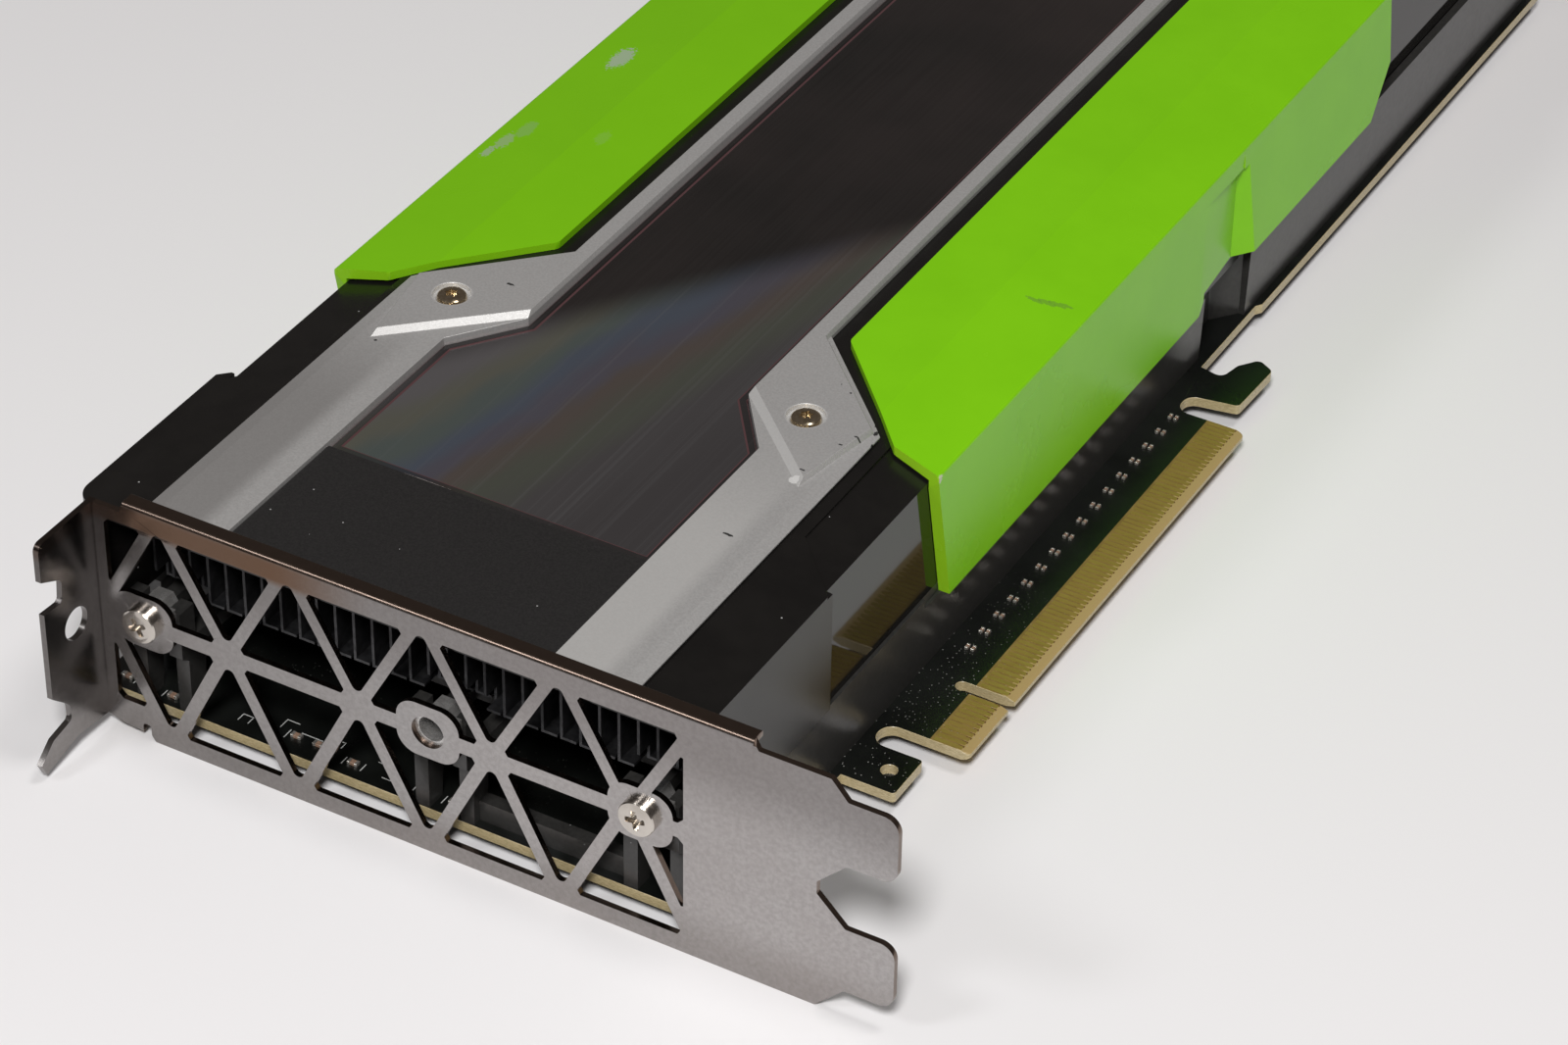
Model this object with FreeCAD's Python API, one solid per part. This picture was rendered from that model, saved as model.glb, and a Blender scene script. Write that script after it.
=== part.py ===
import FreeCAD, Part
import math
import os

# A passively cooled accelerator card lying flat with its cooler upwards.
# Working axes: x towards the edge connector, y from the bracket to the rear end, z up.
# x has its own zero, y is zero on the bracket's outer face, z is zero on the board's upper face.

V = FreeCAD.Vector

# Fits
GAP = 0.1
SLIDE = 0.05
FACE_GAP = 0.14

# Height of the shroud's flat roof over the board, which sets the cooler's and the bracket's height
SHROUD_FLAT_Z = 33.3

# Circuit board
BOARD_T = 1.57
BOARD_LENGTH = 267.7
BOARD_FRONT_Y = 3.1
BOARD_REAR_Y = BOARD_FRONT_Y + BOARD_LENGTH
BOARD_LEFT_X = -69.5
BOARD_EDGE_X = 26.0
BOARD_REAR_STEP = 0.7
FINGER_EDGE_X = 38.5
FINGER_INNER_X = 33.0
FINGER_BEVEL = 1.3
FINGER_PITCH = 1.0
FINGER_W = 0.7
FINGER_T = 0.05
FINGERS_SHORT = 11
FINGERS_LONG = 71
KEY_Y = 60.84
KEY_W = 1.9
KEY_END_X = 30.07
SHORT_TAB_FRONT_Y = 48.75
LONG_TAB_REAR_Y = 133.0
LUG_FRONT_Y = 36.4
LUG_REAR_Y = 44.4
LUG_X = 34.0
LUG_HOLE_R = 1.15
HOOK_FRONT_Y = 137.0
HOOK_PROFILE = ((35.0, 1.4, 0.8), (35.4, 12.0, 1.2), (32.6, 13.6, 1.0), (30.4, 10.6, 0.8), (29.6, 6.8, 1.2))
HOOK_REAR = 7.6
REAR_STEP_Y = 163.0
NOTCH_R = 2.1
LUG_R = 0.6
TAB_R = 0.8
CAPACITOR_X = 28.15
CAPACITOR_GAP = 0.9
CAPACITOR_COUNT = 16
CAPACITOR_FIRST_Y = 68.5
CAPACITOR_PITCH = 4.15
CAPACITOR_W = 0.54
CAPACITOR_L = 1.0
CAPACITOR_H = 0.5
PASSIVE_PLACES = ((-66.0, 5.4), (-58.4, 5.0), (-39.5, 6.4), (-36.0, 6.4), (-30.0, 5.6), (-14.2, 5.6))
PASSIVE_L = 1.6
PASSIVE_W = 0.9
PASSIVE_H = 0.55

# Bracket
SHEET_T = 0.86
BRACKET_BOTTOM_Z = -4.1
BRACKET_TOP_Z = SHROUD_FLAT_Z + 1.34
BRACKET_STEP_Z = BRACKET_TOP_Z - 1.34
BRACKET_CORNER_Z = BRACKET_TOP_Z - 1.64
BRACKET_LEFT_X = -66.21
BRACKET_RIGHT_X = 42.7
SHOULDER_X = 46.8
TONGUE_TIP_X = 53.8
TONGUE_W = 10.19
TONGUE_LOW_Z = 0.015
TONGUE_HIGH_Z = 20.335
TONGUE_R = 2.2
FLANGE_LEFT_X = -60.5
FLANGE_RIGHT_X = 33.5
FLANGE_DEPTH = 2.4
BEND_R = 0.8
FOOT_LEFT_X = -58.0
FOOT_NICK_X = -59.9
FOOT_NICK_W = 1.3
TAB_LOW_Z = -1.8
TAB_NOTCH = ((0, 27.2, 0), (4.1, 25.1, -0.5), (3.8, 21.6, -0.5), (0, 21.9, 0))
TAB_LUG = ((0, 8.0, 0), (3.4, 4.9, -0.4), (3.5, 2.3, -0.4), (-0.6, 1.5, 0))
TAB_DEPTH = 11.43
TAB_HOLE_Y = -5.2
TAB_HOLE_Z = 16.5
TAB_HOLE_R = 2.4
LUG_TIP_Y = -14.9

# Vents of the bracket
VENT_LEFT_X = -63.6
VENT_RIGHT_X = 23.65
VENT_FIRST_X = -55.1
VENT_PITCH = 20.2
UPPER_LOW_Z = 17.0
UPPER_TOP_Z = BRACKET_TOP_Z - 3.44
LOWER_LOW_Z = -1.4
LOWER_TOP_Z = 14.6
UPPER_WIDE = 8.4
UPPER_NARROW = 7.6
LOWER_HALF = 8.0
UPPER_SLOPE = 0.554
LOWER_SLOPE = 0.503
VENT_TIP_R = 0.85
VENT_CORNER_CUT = 0.8
VENT_CORNER_Z = 1.4

# Fixings of the bracket
PAD_W = 9.5
PAD_H = 8.5
PAD_R = 3.0
LEFT_PAD_X = -58.5
MID_PAD_X = -14.15
RIGHT_PAD_X = 17.4
PAD_Z = 15.9
MID_HOLE_R = 2.45
BRACKET_SCREW_R = 1.45
BRACKET_HEAD_R = 2.65
BRACKET_HEAD_T = 1.35
HEAD_ROUND = 0.7
BRACKET_SCREW_LENGTH = 6.0
EAR_T = 1.1
EAR_W = 8.0
EAR_TOP_Z = 18.4
EAR_LOW_Z = 12.6
BUSH_R = 2.4
MID_BUSH_BORE_R = 1.9
BUSH_LENGTH = 4.5

# Cooler: common sizes
COOLER_X = -21.2
COOLER_HALF = 46.6
FOLD_HALF = 34.9
COOLER_REAR_Y = BOARD_REAR_Y - 2.8
SPLIT_Z = 12.3
COVER_FRONT_Y = 60.8
COVER_REAR_Y = 205.0

# Base frame
FRAME_FOOT_HALF = 45.8
FRAME_WALL_T = 2.4
FRAME_PLATE_FRONT_Y = 15.0
FRAME_PLATE_T = 2.2
FRAME_WALL_FRONT_Y = 12.0
FRAME_CORNER_R = 3.0
FRAME_REBATE_Z = 10.8
POCKET_FRONT_Y = 146.4
POCKET_REAR_Y = 160.0
POCKET_DEPTH = 3.2
REAR_WALL_OUT = 0.9
LEG_W = 2.1
LEG_SPREAD = 3.45
LEG_DEPTH = 3.2
LEG_TOP_Z = 17.5
RAIL_H = 3.2
RAIL_OFF = 1.5
RAIL_T = 2.0
OPENING_HALF = 27.0
OPENING_FRONT_Y = 92.0
OPENING_REAR_Y = 152.0
RING_WALL = 17.0
RING_LOW_Z = 2.2
COLUMN_R = 3.2
COLUMN_X = 38.0
COLUMN_YS = (30.0, 176.0, BOARD_REAR_Y - 18.8)

# Heat spreader and fins
SPREADER_TOP_Z = 16.9
SPREADER_HALF = 42.6
SPREADER_R = 3.0
SPREADER_FRONT_Y = 14.0
SPREADER_REAR_Y = BOARD_REAR_Y - 8.8
FIN_FRONT_Y = 6.6
FIN_PITCH = 2.85
FIN_COUNT = 29
FIN_T = 0.4
FIN_TOP_Z = SHROUD_FLAT_Z - 3.4
FIN_FLANGE = 2.4
FIN_ROOM = 0.75
FIN_ROOM_Y = 9.0

# Processor
SUBSTRATE_SIZE = 45.0
SUBSTRATE_T = 1.9
DIE_SIZE = 26.0
DIE_T = 0.8
PROCESSOR_Y = 122.0
MEMORY_L = 14.0
MEMORY_W = 12.0
MEMORY_T = 1.2
MEMORY_PITCH = 16.0
MEMORY_OFF = 6.6
MEMORY_END_OFF = 8.0

# Shroud
SHROUD_FRONT_Y = SHEET_T + FACE_GAP
SHROUD_REAR_Y = BOARD_REAR_Y - 1.3
SHROUD_EDGE_Z = SHROUD_FLAT_Z - 1.8
SHROUD_T = 1.4
WAIST_FRONT_Y = 34.2
WAIST_DEPTH = 0.9
BED_Z = SHROUD_FLAT_Z - 2.0
LEFT_BLOCK_OUT = 1.5
LEFT_BLOCK_R = 3.5
SUNK_DEPTH = 0.4
SUNK_X = 17.4
SUNK_Y = 41.0
HOLLOW_CHAMFER = 0.8

# Covers
COVER_X = 26.3
COVER_INNER_X = 24.6
COVER_T = 1.15
COVER_EDGE_Z = SHROUD_FLAT_Z - 0.2
COVER_INNER_EDGE_X = 2.0
COVER_LOW_Z = 10.9
COVER_SLANT = 4.4
COVER_STEP_Y = 143.0
COVER_STEP_Z = 14.0
SCOOP_REAR_Y = 153.6
BULGE_Y = 156.9
BULGE_OUT = 1.4
SCOOP_DEPTH = 1.0
COVER_LIP_R = 0.5
COVER_KNEE_X = 18.5
COVER_TAPER = 19.6
COVER_REAR_TAPER = 18.0
COVER_END_CUT = 7.0
SCOOP_TOP = 3.4

# Trims
TRIM_FRONT_Y = 2.5
TRIM_REAR_Y = BOARD_REAR_Y - 4.8
TRIM_INNER = 24.6
TRIM_OUTER = 36.9
STRIP_INNER = 17.3
STRIP_OUTER = 20.2
TRIM_LOW_Z = SHROUD_FLAT_Z + 0.6
TRIM_TOP_Z = SHROUD_FLAT_Z + 1.3
TRIM_SKIRT = 1.2
SLANT_FRONT_Y = 54.6
SLANT_REAR_Y = 64.4
TRIM_SCREW_Y = 62.0
TRIM_SCREW_LEFT_X = -50.1
TRIM_SCREW_RIGHT_X = 5.6
TRIM_SCREW_R = 2.1
TRIM_HEAD_T = 0.9
TRIM_SINK_R = 2.7
TRIM_SINK_DEPTH = 0.8
TRIM_CHAMFER = 1.1
TRIM_TAPER = 16.2
STRIP_START = 19.6
BOSS_BEFORE = 16.0
NAME_PLATE_REAR_Y = 25.5
NAME_PLATE_Z = SHROUD_FLAT_Z + 0.2
WINDOW_Z = SHROUD_FLAT_Z - 0.5
WINDOW_FRONT_Y = 25.8

# Backplate
BACKPLATE_T = 1.0
BACKPLATE_LOW_Z = -3.45
BACKPLATE_FRONT_Y = 12.0
BACKPLATE_REAR_Y = BOARD_REAR_Y - 8.8
BACKPLATE_HALF = 44.5
SCREW_R = 1.2
SCREW_HEAD_R = 2.4
SCREW_HEAD_T = 0.6
SCREW_REACH = 6.0
BACKPLATE_R = 4.0

# Power supply parts
INDUCTOR_SIZE = 9.0
INDUCTOR_H = 6.5
INDUCTOR_COUNT = 8
PHASE_PITCH_X = 12.5
PHASE_SPREAD = 22.0
STAGE_HALF = 3.0
STAGE_OFF = 6.5
STAGE_DEPTH = 5.0
STAGE_H = 0.9
PHASE_PITCH_Y = 26.0
PHASE_Y = BOARD_REAR_Y - 80.8
SOCKET_X = -60.0
SOCKET_W = 18.4
SOCKET_DEPTH = 13.5
SOCKET_H = 10.4
SOCKET_PITCH = 4.2
SOCKET_FLOOR = 2.5
CAVITY_HALF = 1.7
PIN_HALF = 0.5
PIN_SHORT = 2.0
SOCKET_REAR_Y = BOARD_REAR_Y - 1.2

# Frame of the finished part: middle of the box in x and y, lowest point in z
LEFT_END_X = min(BOARD_LEFT_X, 2.0 * COOLER_X - COVER_X - BULGE_OUT)
OVER_Z = SHROUD_FLAT_Z + 7.0
OVER_X = COVER_X + 14.0
MOVE = V(
    -(LEFT_END_X + TONGUE_TIP_X) / 2.0,
    -(LUG_TIP_Y + BOARD_REAR_Y) / 2.0,
    -BRACKET_BOTTOM_Z,
)


def save(name, shape):
    """Write one node, moved into the part's frame."""
    moved = shape.copy()
    moved.translate(MOVE)
    moved.exportStep("parts/" + name + ".step")


def outline(corners, put):
    """Closed wire through (a, b, radius) corners; put() turns a flat point into a 3-D one.

    A negative radius takes the corner off with one straight cut instead of an arc.
    """
    count = len(corners)
    entries = []
    for i in range(count):
        a, b, radius = corners[i]
        here = V(a, b, 0)
        before = V(corners[i - 1][0], corners[i - 1][1], 0) - here
        after = V(corners[(i + 1) % count][0], corners[(i + 1) % count][1], 0) - here
        if radius == 0:
            entries.append((here, None, here))
            continue
        shortest = min(before.Length, after.Length)
        before.normalize()
        after.normalize()
        if radius < 0:
            cut = min(-radius, shortest * 0.4)
            entries.append((here + before * cut, None, here + after * cut))
            continue
        half = before.getAngle(after) / 2.0
        reach = radius / math.tan(half)
        middle = before + after
        middle.normalize()
        centre = here + middle * (radius / math.sin(half))
        entries.append((here + before * reach, centre - middle * radius, here + after * reach))
    edges = []
    for i in range(count):
        start, crown, end = entries[i]
        if crown is not None:
            edges.append(Part.Arc(put(start), put(crown), put(end)).toShape())
        elif start.distanceToPoint(end) > 1e-6:
            edges.append(Part.makeLine(put(start), put(end)))
        following = entries[(i + 1) % count][0]
        if end.distanceToPoint(following) > 1e-6:
            edges.append(Part.makeLine(put(end), put(following)))
    return Part.Wire(edges)


def plan(corners, low, high):
    """Plate with an (x, y) outline between two heights."""
    wire = outline(corners, lambda p: V(p.x, p.y, low))
    return Part.Face(wire).extrude(V(0, 0, high - low))


def section(corners, front, rear):
    """Bar with an (x, z) section between two y."""
    wire = outline(corners, lambda p: V(p.x, front, p.y))
    return Part.Face(wire).extrude(V(0, rear - front, 0))


def side(corners, left, right):
    """Plate with a (y, z) outline between two x."""
    wire = outline(corners, lambda p: V(left, p.x, p.y))
    return Part.Face(wire).extrude(V(right - left, 0, 0))


def box(left, right, front, rear, low, high):
    return Part.makeBox(right - left, rear - front, high - low, V(left, front, low))


def post(x, y, low, high, radius):
    """Upright round bar."""
    return Part.makeCylinder(radius, high - low, V(x, y, low), V(0, 0, 1))


def rod(x, z, front, rear, radius):
    """Round bar along the card."""
    return Part.makeCylinder(radius, rear - front, V(x, front, z), V(0, 1, 0))


def ring(a, b, radius, sides=12):
    """Corners of a many-sided bar round a middle point."""
    corners = []
    for i in range(sides):
        angle = 2.0 * math.pi * i / sides
        corners.append((a + radius * math.cos(angle), b + radius * math.sin(angle), 0))
    return corners


def shank(x, y, low, high, radius):
    """Upright hidden shank of a screw."""
    return plan(ring(x, y, radius), low, high)


def drill(x, y, low, high, radius):
    """Upright hidden hole, nowhere smaller than its radius."""
    return plan(ring(x, y, radius / math.cos(math.pi / 12.0)), low, high)


def rectangle(left, right, low, high, radius):
    return [(left, low, radius), (right, low, radius), (right, high, radius), (left, high, radius)]


def mirrored(shape):
    """The same shape on the other side of the cooler's middle plane."""
    return shape.mirror(V(COOLER_X, 0, 0), V(1, 0, 0))


def clipped(points, low, high):
    """Flat outline cut off at two values of its first coordinate."""
    for limit, sign in ((low, 1.0), (high, -1.0)):
        kept = []
        for i in range(len(points)):
            a = points[i - 1]
            b = points[i]
            in_a = (a[0] - limit) * sign >= 0
            in_b = (b[0] - limit) * sign >= 0
            if in_a != in_b:
                share = (limit - a[0]) / (b[0] - a[0])
                kept.append((limit, a[1] + share * (b[1] - a[1])))
            if in_b:
                kept.append(b)
        points = kept
    return points


# Circuit board

def board_outline():
    rear_x = BOARD_EDGE_X + BOARD_REAR_STEP
    slot_x = BOARD_EDGE_X + 1.5
    points = [
        (BOARD_LEFT_X, BOARD_FRONT_Y, 0),
        (BOARD_EDGE_X, BOARD_FRONT_Y, 0),
        (BOARD_EDGE_X, LUG_FRONT_Y, 0),
        (LUG_X, LUG_FRONT_Y, LUG_R),
        (LUG_X, LUG_REAR_Y, LUG_R),
        (BOARD_EDGE_X, LUG_REAR_Y, NOTCH_R),
        (BOARD_EDGE_X, SHORT_TAB_FRONT_Y, NOTCH_R),
        (FINGER_EDGE_X, SHORT_TAB_FRONT_Y, TAB_R),
        (FINGER_EDGE_X, LONG_TAB_REAR_Y, TAB_R),
        (slot_x, LONG_TAB_REAR_Y, NOTCH_R - 0.2),
        (slot_x, HOOK_FRONT_Y, NOTCH_R - 0.2),
    ]
    for x, along, radius in HOOK_PROFILE:
        points.append((x, HOOK_FRONT_Y + along, radius))
    points += [
        (BOARD_EDGE_X, HOOK_FRONT_Y + HOOK_REAR, 0),
        (BOARD_EDGE_X, REAR_STEP_Y, 0),
        (rear_x, REAR_STEP_Y + 1.0, 0),
        (rear_x, BOARD_REAR_Y, 1.0),
        (BOARD_LEFT_X, BOARD_REAR_Y, 1.0),
    ]
    return points


def key_notch():
    half = KEY_W / 2.0
    slot = box(KEY_END_X + half, FINGER_EDGE_X + 1, KEY_Y - half, KEY_Y + half, -BOARD_T - 1, 1)
    return slot.fuse(post(KEY_END_X + half, KEY_Y, -BOARD_T - 1, 1, half))


def finger_bevels():
    """Wedges off both faces of the connector's leading edge."""
    rise = FINGER_BEVEL * math.tan(math.radians(20.0))
    start = FINGER_EDGE_X - FINGER_BEVEL
    over = FINGER_EDGE_X + 0.01
    upper = [(start, 0, 0), (over, 0, 0), (over, -rise, 0)]
    lower = [(start, -BOARD_T, 0), (over, -BOARD_T + rise, 0), (over, -BOARD_T, 0)]
    ends = (SHORT_TAB_FRONT_Y - 1, LONG_TAB_REAR_Y + 1)
    return section(upper, *ends).fuse(section(lower, *ends))


def column_places():
    places = []
    for y in COLUMN_YS:
        places.append((COOLER_X - COLUMN_X, y))
        places.append((COOLER_X + COLUMN_X, y))
    return places


def circuit_board():
    board = plan(board_outline(), -BOARD_T, 0)
    board = board.cut(key_notch())
    board = board.cut(finger_bevels())
    lug_hole = post(LUG_X - 2.95, (LUG_FRONT_Y + LUG_REAR_Y) / 2.0, -BOARD_T - 1, 1, LUG_HOLE_R)
    board = board.cut(lug_hole)
    for x, y in column_places():
        board = board.cut(drill(x, y, -BOARD_T - 1, 1, SCREW_R + GAP))
    return board


def finger_ys():
    """Middles of the contacts, front tab first."""
    half = KEY_W / 2.0
    ys = []
    for i in range(FINGERS_SHORT):
        ys.append(KEY_Y - half - FINGER_PITCH * (i + 0.62))
    for i in range(FINGERS_LONG):
        ys.append(KEY_Y + half + FINGER_PITCH * (i + 0.62))
    return ys


def edge_contacts(low):
    end = FINGER_EDGE_X - FINGER_BEVEL
    pads = []
    for y in finger_ys():
        pads.append(box(FINGER_INNER_X, end, y - FINGER_W / 2.0, y + FINGER_W / 2.0, low, low + FINGER_T))
    return Part.makeCompound(pads)


def coupling_capacitors():
    bodies = []
    for i in range(CAPACITOR_COUNT):
        y = CAPACITOR_FIRST_Y + CAPACITOR_PITCH * i
        for x in (CAPACITOR_X - CAPACITOR_GAP / 2.0, CAPACITOR_X + CAPACITOR_GAP / 2.0):
            half_x = CAPACITOR_W / 2.0
            half_y = CAPACITOR_L / 2.0
            bodies.append(box(x - half_x, x + half_x, y - half_y, y + half_y, 0, CAPACITOR_H))
    return Part.makeCompound(bodies)


def front_passives():
    """Small resistors and lamps along the board's front edge."""
    bodies = []
    for x, y in PASSIVE_PLACES:
        half_x = PASSIVE_L / 2.0
        half_y = PASSIVE_W / 2.0
        bodies.append(box(x - half_x, x + half_x, y - half_y, y + half_y, 0, PASSIVE_H))
    return Part.makeCompound(bodies)


# Bracket

def vent_tip(points, low, high, tip_index):
    """Rounded corner list of one vent, cut off at the ends of the vent field."""
    tip = points[tip_index]
    corners = []
    for point in clipped(points, low, high):
        corners.append((point[0], point[1], VENT_TIP_R if point == tip else -VENT_CORNER_CUT))
    return corners


def vents():
    """All the triangles of the two vent rows."""
    shapes = []
    for k in range(-1, 10):
        x = VENT_FIRST_X + VENT_PITCH * k / 2.0
        if k % 2 == 0:
            upper_tip = UPPER_LOW_Z + UPPER_WIDE / UPPER_SLOPE
            lower_tip = LOWER_TOP_Z - LOWER_HALF / LOWER_SLOPE
            upper = [(x - UPPER_WIDE, UPPER_LOW_Z), (x + UPPER_WIDE, UPPER_LOW_Z), (x, upper_tip)]
            lower = [(x - LOWER_HALF, LOWER_TOP_Z), (x, lower_tip), (x + LOWER_HALF, LOWER_TOP_Z)]
        else:
            upper_tip = UPPER_TOP_Z - UPPER_NARROW / UPPER_SLOPE
            lower_base = LOWER_LOW_Z if k > 0 else VENT_CORNER_Z
            lower_tip = LOWER_LOW_Z + LOWER_HALF / LOWER_SLOPE
            half = (lower_tip - lower_base) * LOWER_SLOPE
            upper = [(x - UPPER_NARROW, UPPER_TOP_Z), (x, upper_tip), (x + UPPER_NARROW, UPPER_TOP_Z)]
            lower = [(x - half, lower_base), (x + half, lower_base), (x, lower_tip)]
        for points in (upper, lower):
            tips = [p for p in points if abs(p[0] - x) < 1e-9]
            corners = vent_tip(points, VENT_LEFT_X, VENT_RIGHT_X, points.index(tips[0]))
            if len(corners) > 2:
                shapes.append(section(corners, -1.0, SHEET_T + 1.0))
    return shapes


def bracket_face_outline():
    high_top = TONGUE_HIGH_Z + TONGUE_W
    low_top = TONGUE_LOW_Z + TONGUE_W
    slope = SHOULDER_X - BRACKET_RIGHT_X
    return [
        (BRACKET_LEFT_X, TAB_LOW_Z, 0),
        (BRACKET_LEFT_X + 2.8, TAB_LOW_Z - 1.0, 0),
        (FOOT_NICK_X, TAB_LOW_Z - 1.25, 0),
        (FOOT_NICK_X, TAB_LOW_Z + 0.2, 0.5),
        (FOOT_NICK_X + FOOT_NICK_W, TAB_LOW_Z + 0.2, 0.5),
        (FOOT_NICK_X + FOOT_NICK_W, TAB_LOW_Z - 1.4, 0),
        (FOOT_LEFT_X, BRACKET_BOTTOM_Z, 0),
        (BRACKET_RIGHT_X, BRACKET_BOTTOM_Z, 0),
        (SHOULDER_X, TONGUE_LOW_Z, 0),
        (TONGUE_TIP_X, TONGUE_LOW_Z, TONGUE_R),
        (TONGUE_TIP_X, low_top, TONGUE_R),
        (SHOULDER_X, low_top, 0),
        (BRACKET_RIGHT_X, low_top + slope, 0),
        (BRACKET_RIGHT_X, TONGUE_HIGH_Z - slope, 0),
        (SHOULDER_X, TONGUE_HIGH_Z, 0),
        (TONGUE_TIP_X, TONGUE_HIGH_Z, TONGUE_R),
        (TONGUE_TIP_X, high_top, TONGUE_R),
        (SHOULDER_X, high_top, 0),
        (SHOULDER_X - 2.4, BRACKET_STEP_Z, 0),
        (FLANGE_RIGHT_X + 0.8, BRACKET_STEP_Z, 0),
        (FLANGE_RIGHT_X, BRACKET_TOP_Z, 0),
        (FLANGE_LEFT_X, BRACKET_TOP_Z, 0),
        (FLANGE_LEFT_X - 0.4, BRACKET_CORNER_Z, 0),
        (BRACKET_LEFT_X, BRACKET_CORNER_Z, 0),
    ]


def bracket_tab():
    """Fastening tab at right angles to the face, with its screw notch and guide lug."""
    free = -TAB_DEPTH
    corners = [(SHEET_T, BRACKET_CORNER_Z, 0), (free, BRACKET_CORNER_Z, 1.2)]
    for along, z, radius in TAB_NOTCH + TAB_LUG:
        corners.append((free + along, z, radius))
    corners += [
        (LUG_TIP_Y, TAB_LOW_Z + 0.9, 0),
        (LUG_TIP_Y + 0.9, TAB_LOW_Z - 1.0, 0),
        (LUG_TIP_Y + 7.9, TAB_LOW_Z + 0.7, 0),
        (0.0, TAB_LOW_Z, 0),
        (SHEET_T, TAB_LOW_Z, 0),
    ]
    tab = side(corners, BRACKET_LEFT_X, BRACKET_LEFT_X + SHEET_T)
    hole = Part.makeCylinder(TAB_HOLE_R, 4, V(BRACKET_LEFT_X - 1, TAB_HOLE_Y, TAB_HOLE_Z), V(1, 0, 0))
    return tab.cut(hole)


def bracket_flange():
    """Strip folded back over the cooler along the top of the face."""
    reach = FLANGE_DEPTH
    low = BRACKET_TOP_Z - SHEET_T
    corners = [
        (0, low - SHEET_T, 0),
        (SHEET_T, low - SHEET_T, 0),
        (SHEET_T, low, 0.3),
        (reach, low, 0),
        (reach, BRACKET_TOP_Z, 0.2),
        (0, BRACKET_TOP_Z, BEND_R),
    ]
    return side(corners, FLANGE_LEFT_X, FLANGE_RIGHT_X)


def rounded_bends(face):
    """Face plate with the outer edge of its top fold taken off."""
    low = BRACKET_TOP_Z - BEND_R
    high = BRACKET_TOP_Z + 1
    corners = [(-1, high, 0), (-1, low, 0), (0, low, 0), (BEND_R, BRACKET_TOP_Z, 0), (BEND_R, high, 0)]
    return face.cut(side(corners, BRACKET_LEFT_X - 1, FLANGE_RIGHT_X + 1))


def pad_places():
    return ((LEFT_PAD_X, PAD_Z), (MID_PAD_X, PAD_Z), (RIGHT_PAD_X, PAD_Z))


def io_bracket():
    face = section(bracket_face_outline(), 0, SHEET_T)
    face = rounded_bends(face)
    face = face.cut(Part.makeCompound(vents()))
    for x, z in pad_places():
        half = PAD_W / 2.0
        pad = section(rectangle(x - half, x + half, z - PAD_H / 2.0, z + PAD_H / 2.0, PAD_R), 0, SHEET_T)
        inside = box(BRACKET_LEFT_X, VENT_RIGHT_X + 1, -1, 5, BRACKET_BOTTOM_Z, BRACKET_TOP_Z)
        face = face.fuse(pad.common(inside))
    for x, z in pad_places():
        if x == MID_PAD_X:
            face = face.cut(rod(x, z, -1, SHEET_T + 1, MID_HOLE_R))
        else:
            face = face.cut(section(ring(x, z, BRACKET_SCREW_R + GAP), -1, SHEET_T + 1))
    bracket = face.fuse(bracket_tab())
    bracket = bracket.fuse(bracket_flange())
    return bracket.removeSplitter()


def bracket_screws():
    """Pan-head screws through the bracket into the bushes."""
    screws = []
    for x in (LEFT_PAD_X, RIGHT_PAD_X):
        profile = [
            V(0, -BRACKET_HEAD_T, 0),
            V(BRACKET_HEAD_R - HEAD_ROUND, -BRACKET_HEAD_T, 0),
            V(BRACKET_HEAD_R, -BRACKET_HEAD_T + HEAD_ROUND, 0),
            V(BRACKET_HEAD_R, 0, 0),
            V(0, 0, 0),
        ]
        face = Part.Face(Part.makePolygon(profile + [profile[0]]))
        screw = face.revolve(V(0, 0, 0), V(0, 1, 0), 360)
        screw.translate(V(x, 0, PAD_Z))
        screws.append(screw.fuse(section(ring(x, PAD_Z, BRACKET_SCREW_R), 0, BRACKET_SCREW_LENGTH)))
    return Part.makeCompound(screws)


def bracket_ears():
    """Plated ears behind the bracket, each with a threaded bush."""
    ears = []
    for x, z in pad_places():
        half = EAR_W / 2.0
        plate = section(rectangle(x - half, x + half, EAR_LOW_Z, EAR_TOP_Z, 0), SHEET_T, SHEET_T + EAR_T)
        bush = section(ring(x, z, BUSH_R, 6), SHEET_T, SHEET_T + BUSH_LENGTH)
        if x == MID_PAD_X:
            bore = rod(x, z, 0, SHEET_T + BUSH_LENGTH + 1, MID_BUSH_BORE_R)
        else:
            bore = section(ring(x, z, BRACKET_SCREW_R + SLIDE), 0, SHEET_T + BUSH_LENGTH + 1)
        ears.append(plate.fuse(bush).cut(bore))
    return Part.makeCompound(ears)


# Base frame

def frame_wall(outer_x, top, front, rear):
    """Right-hand side wall with a slight draft."""
    foot = COOLER_X + FRAME_FOOT_HALF
    inner = foot - FRAME_WALL_T
    return section([(inner, 0, 0), (foot, 0, 0), (outer_x, top, 0), (inner, top, 0)], front, rear)


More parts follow.
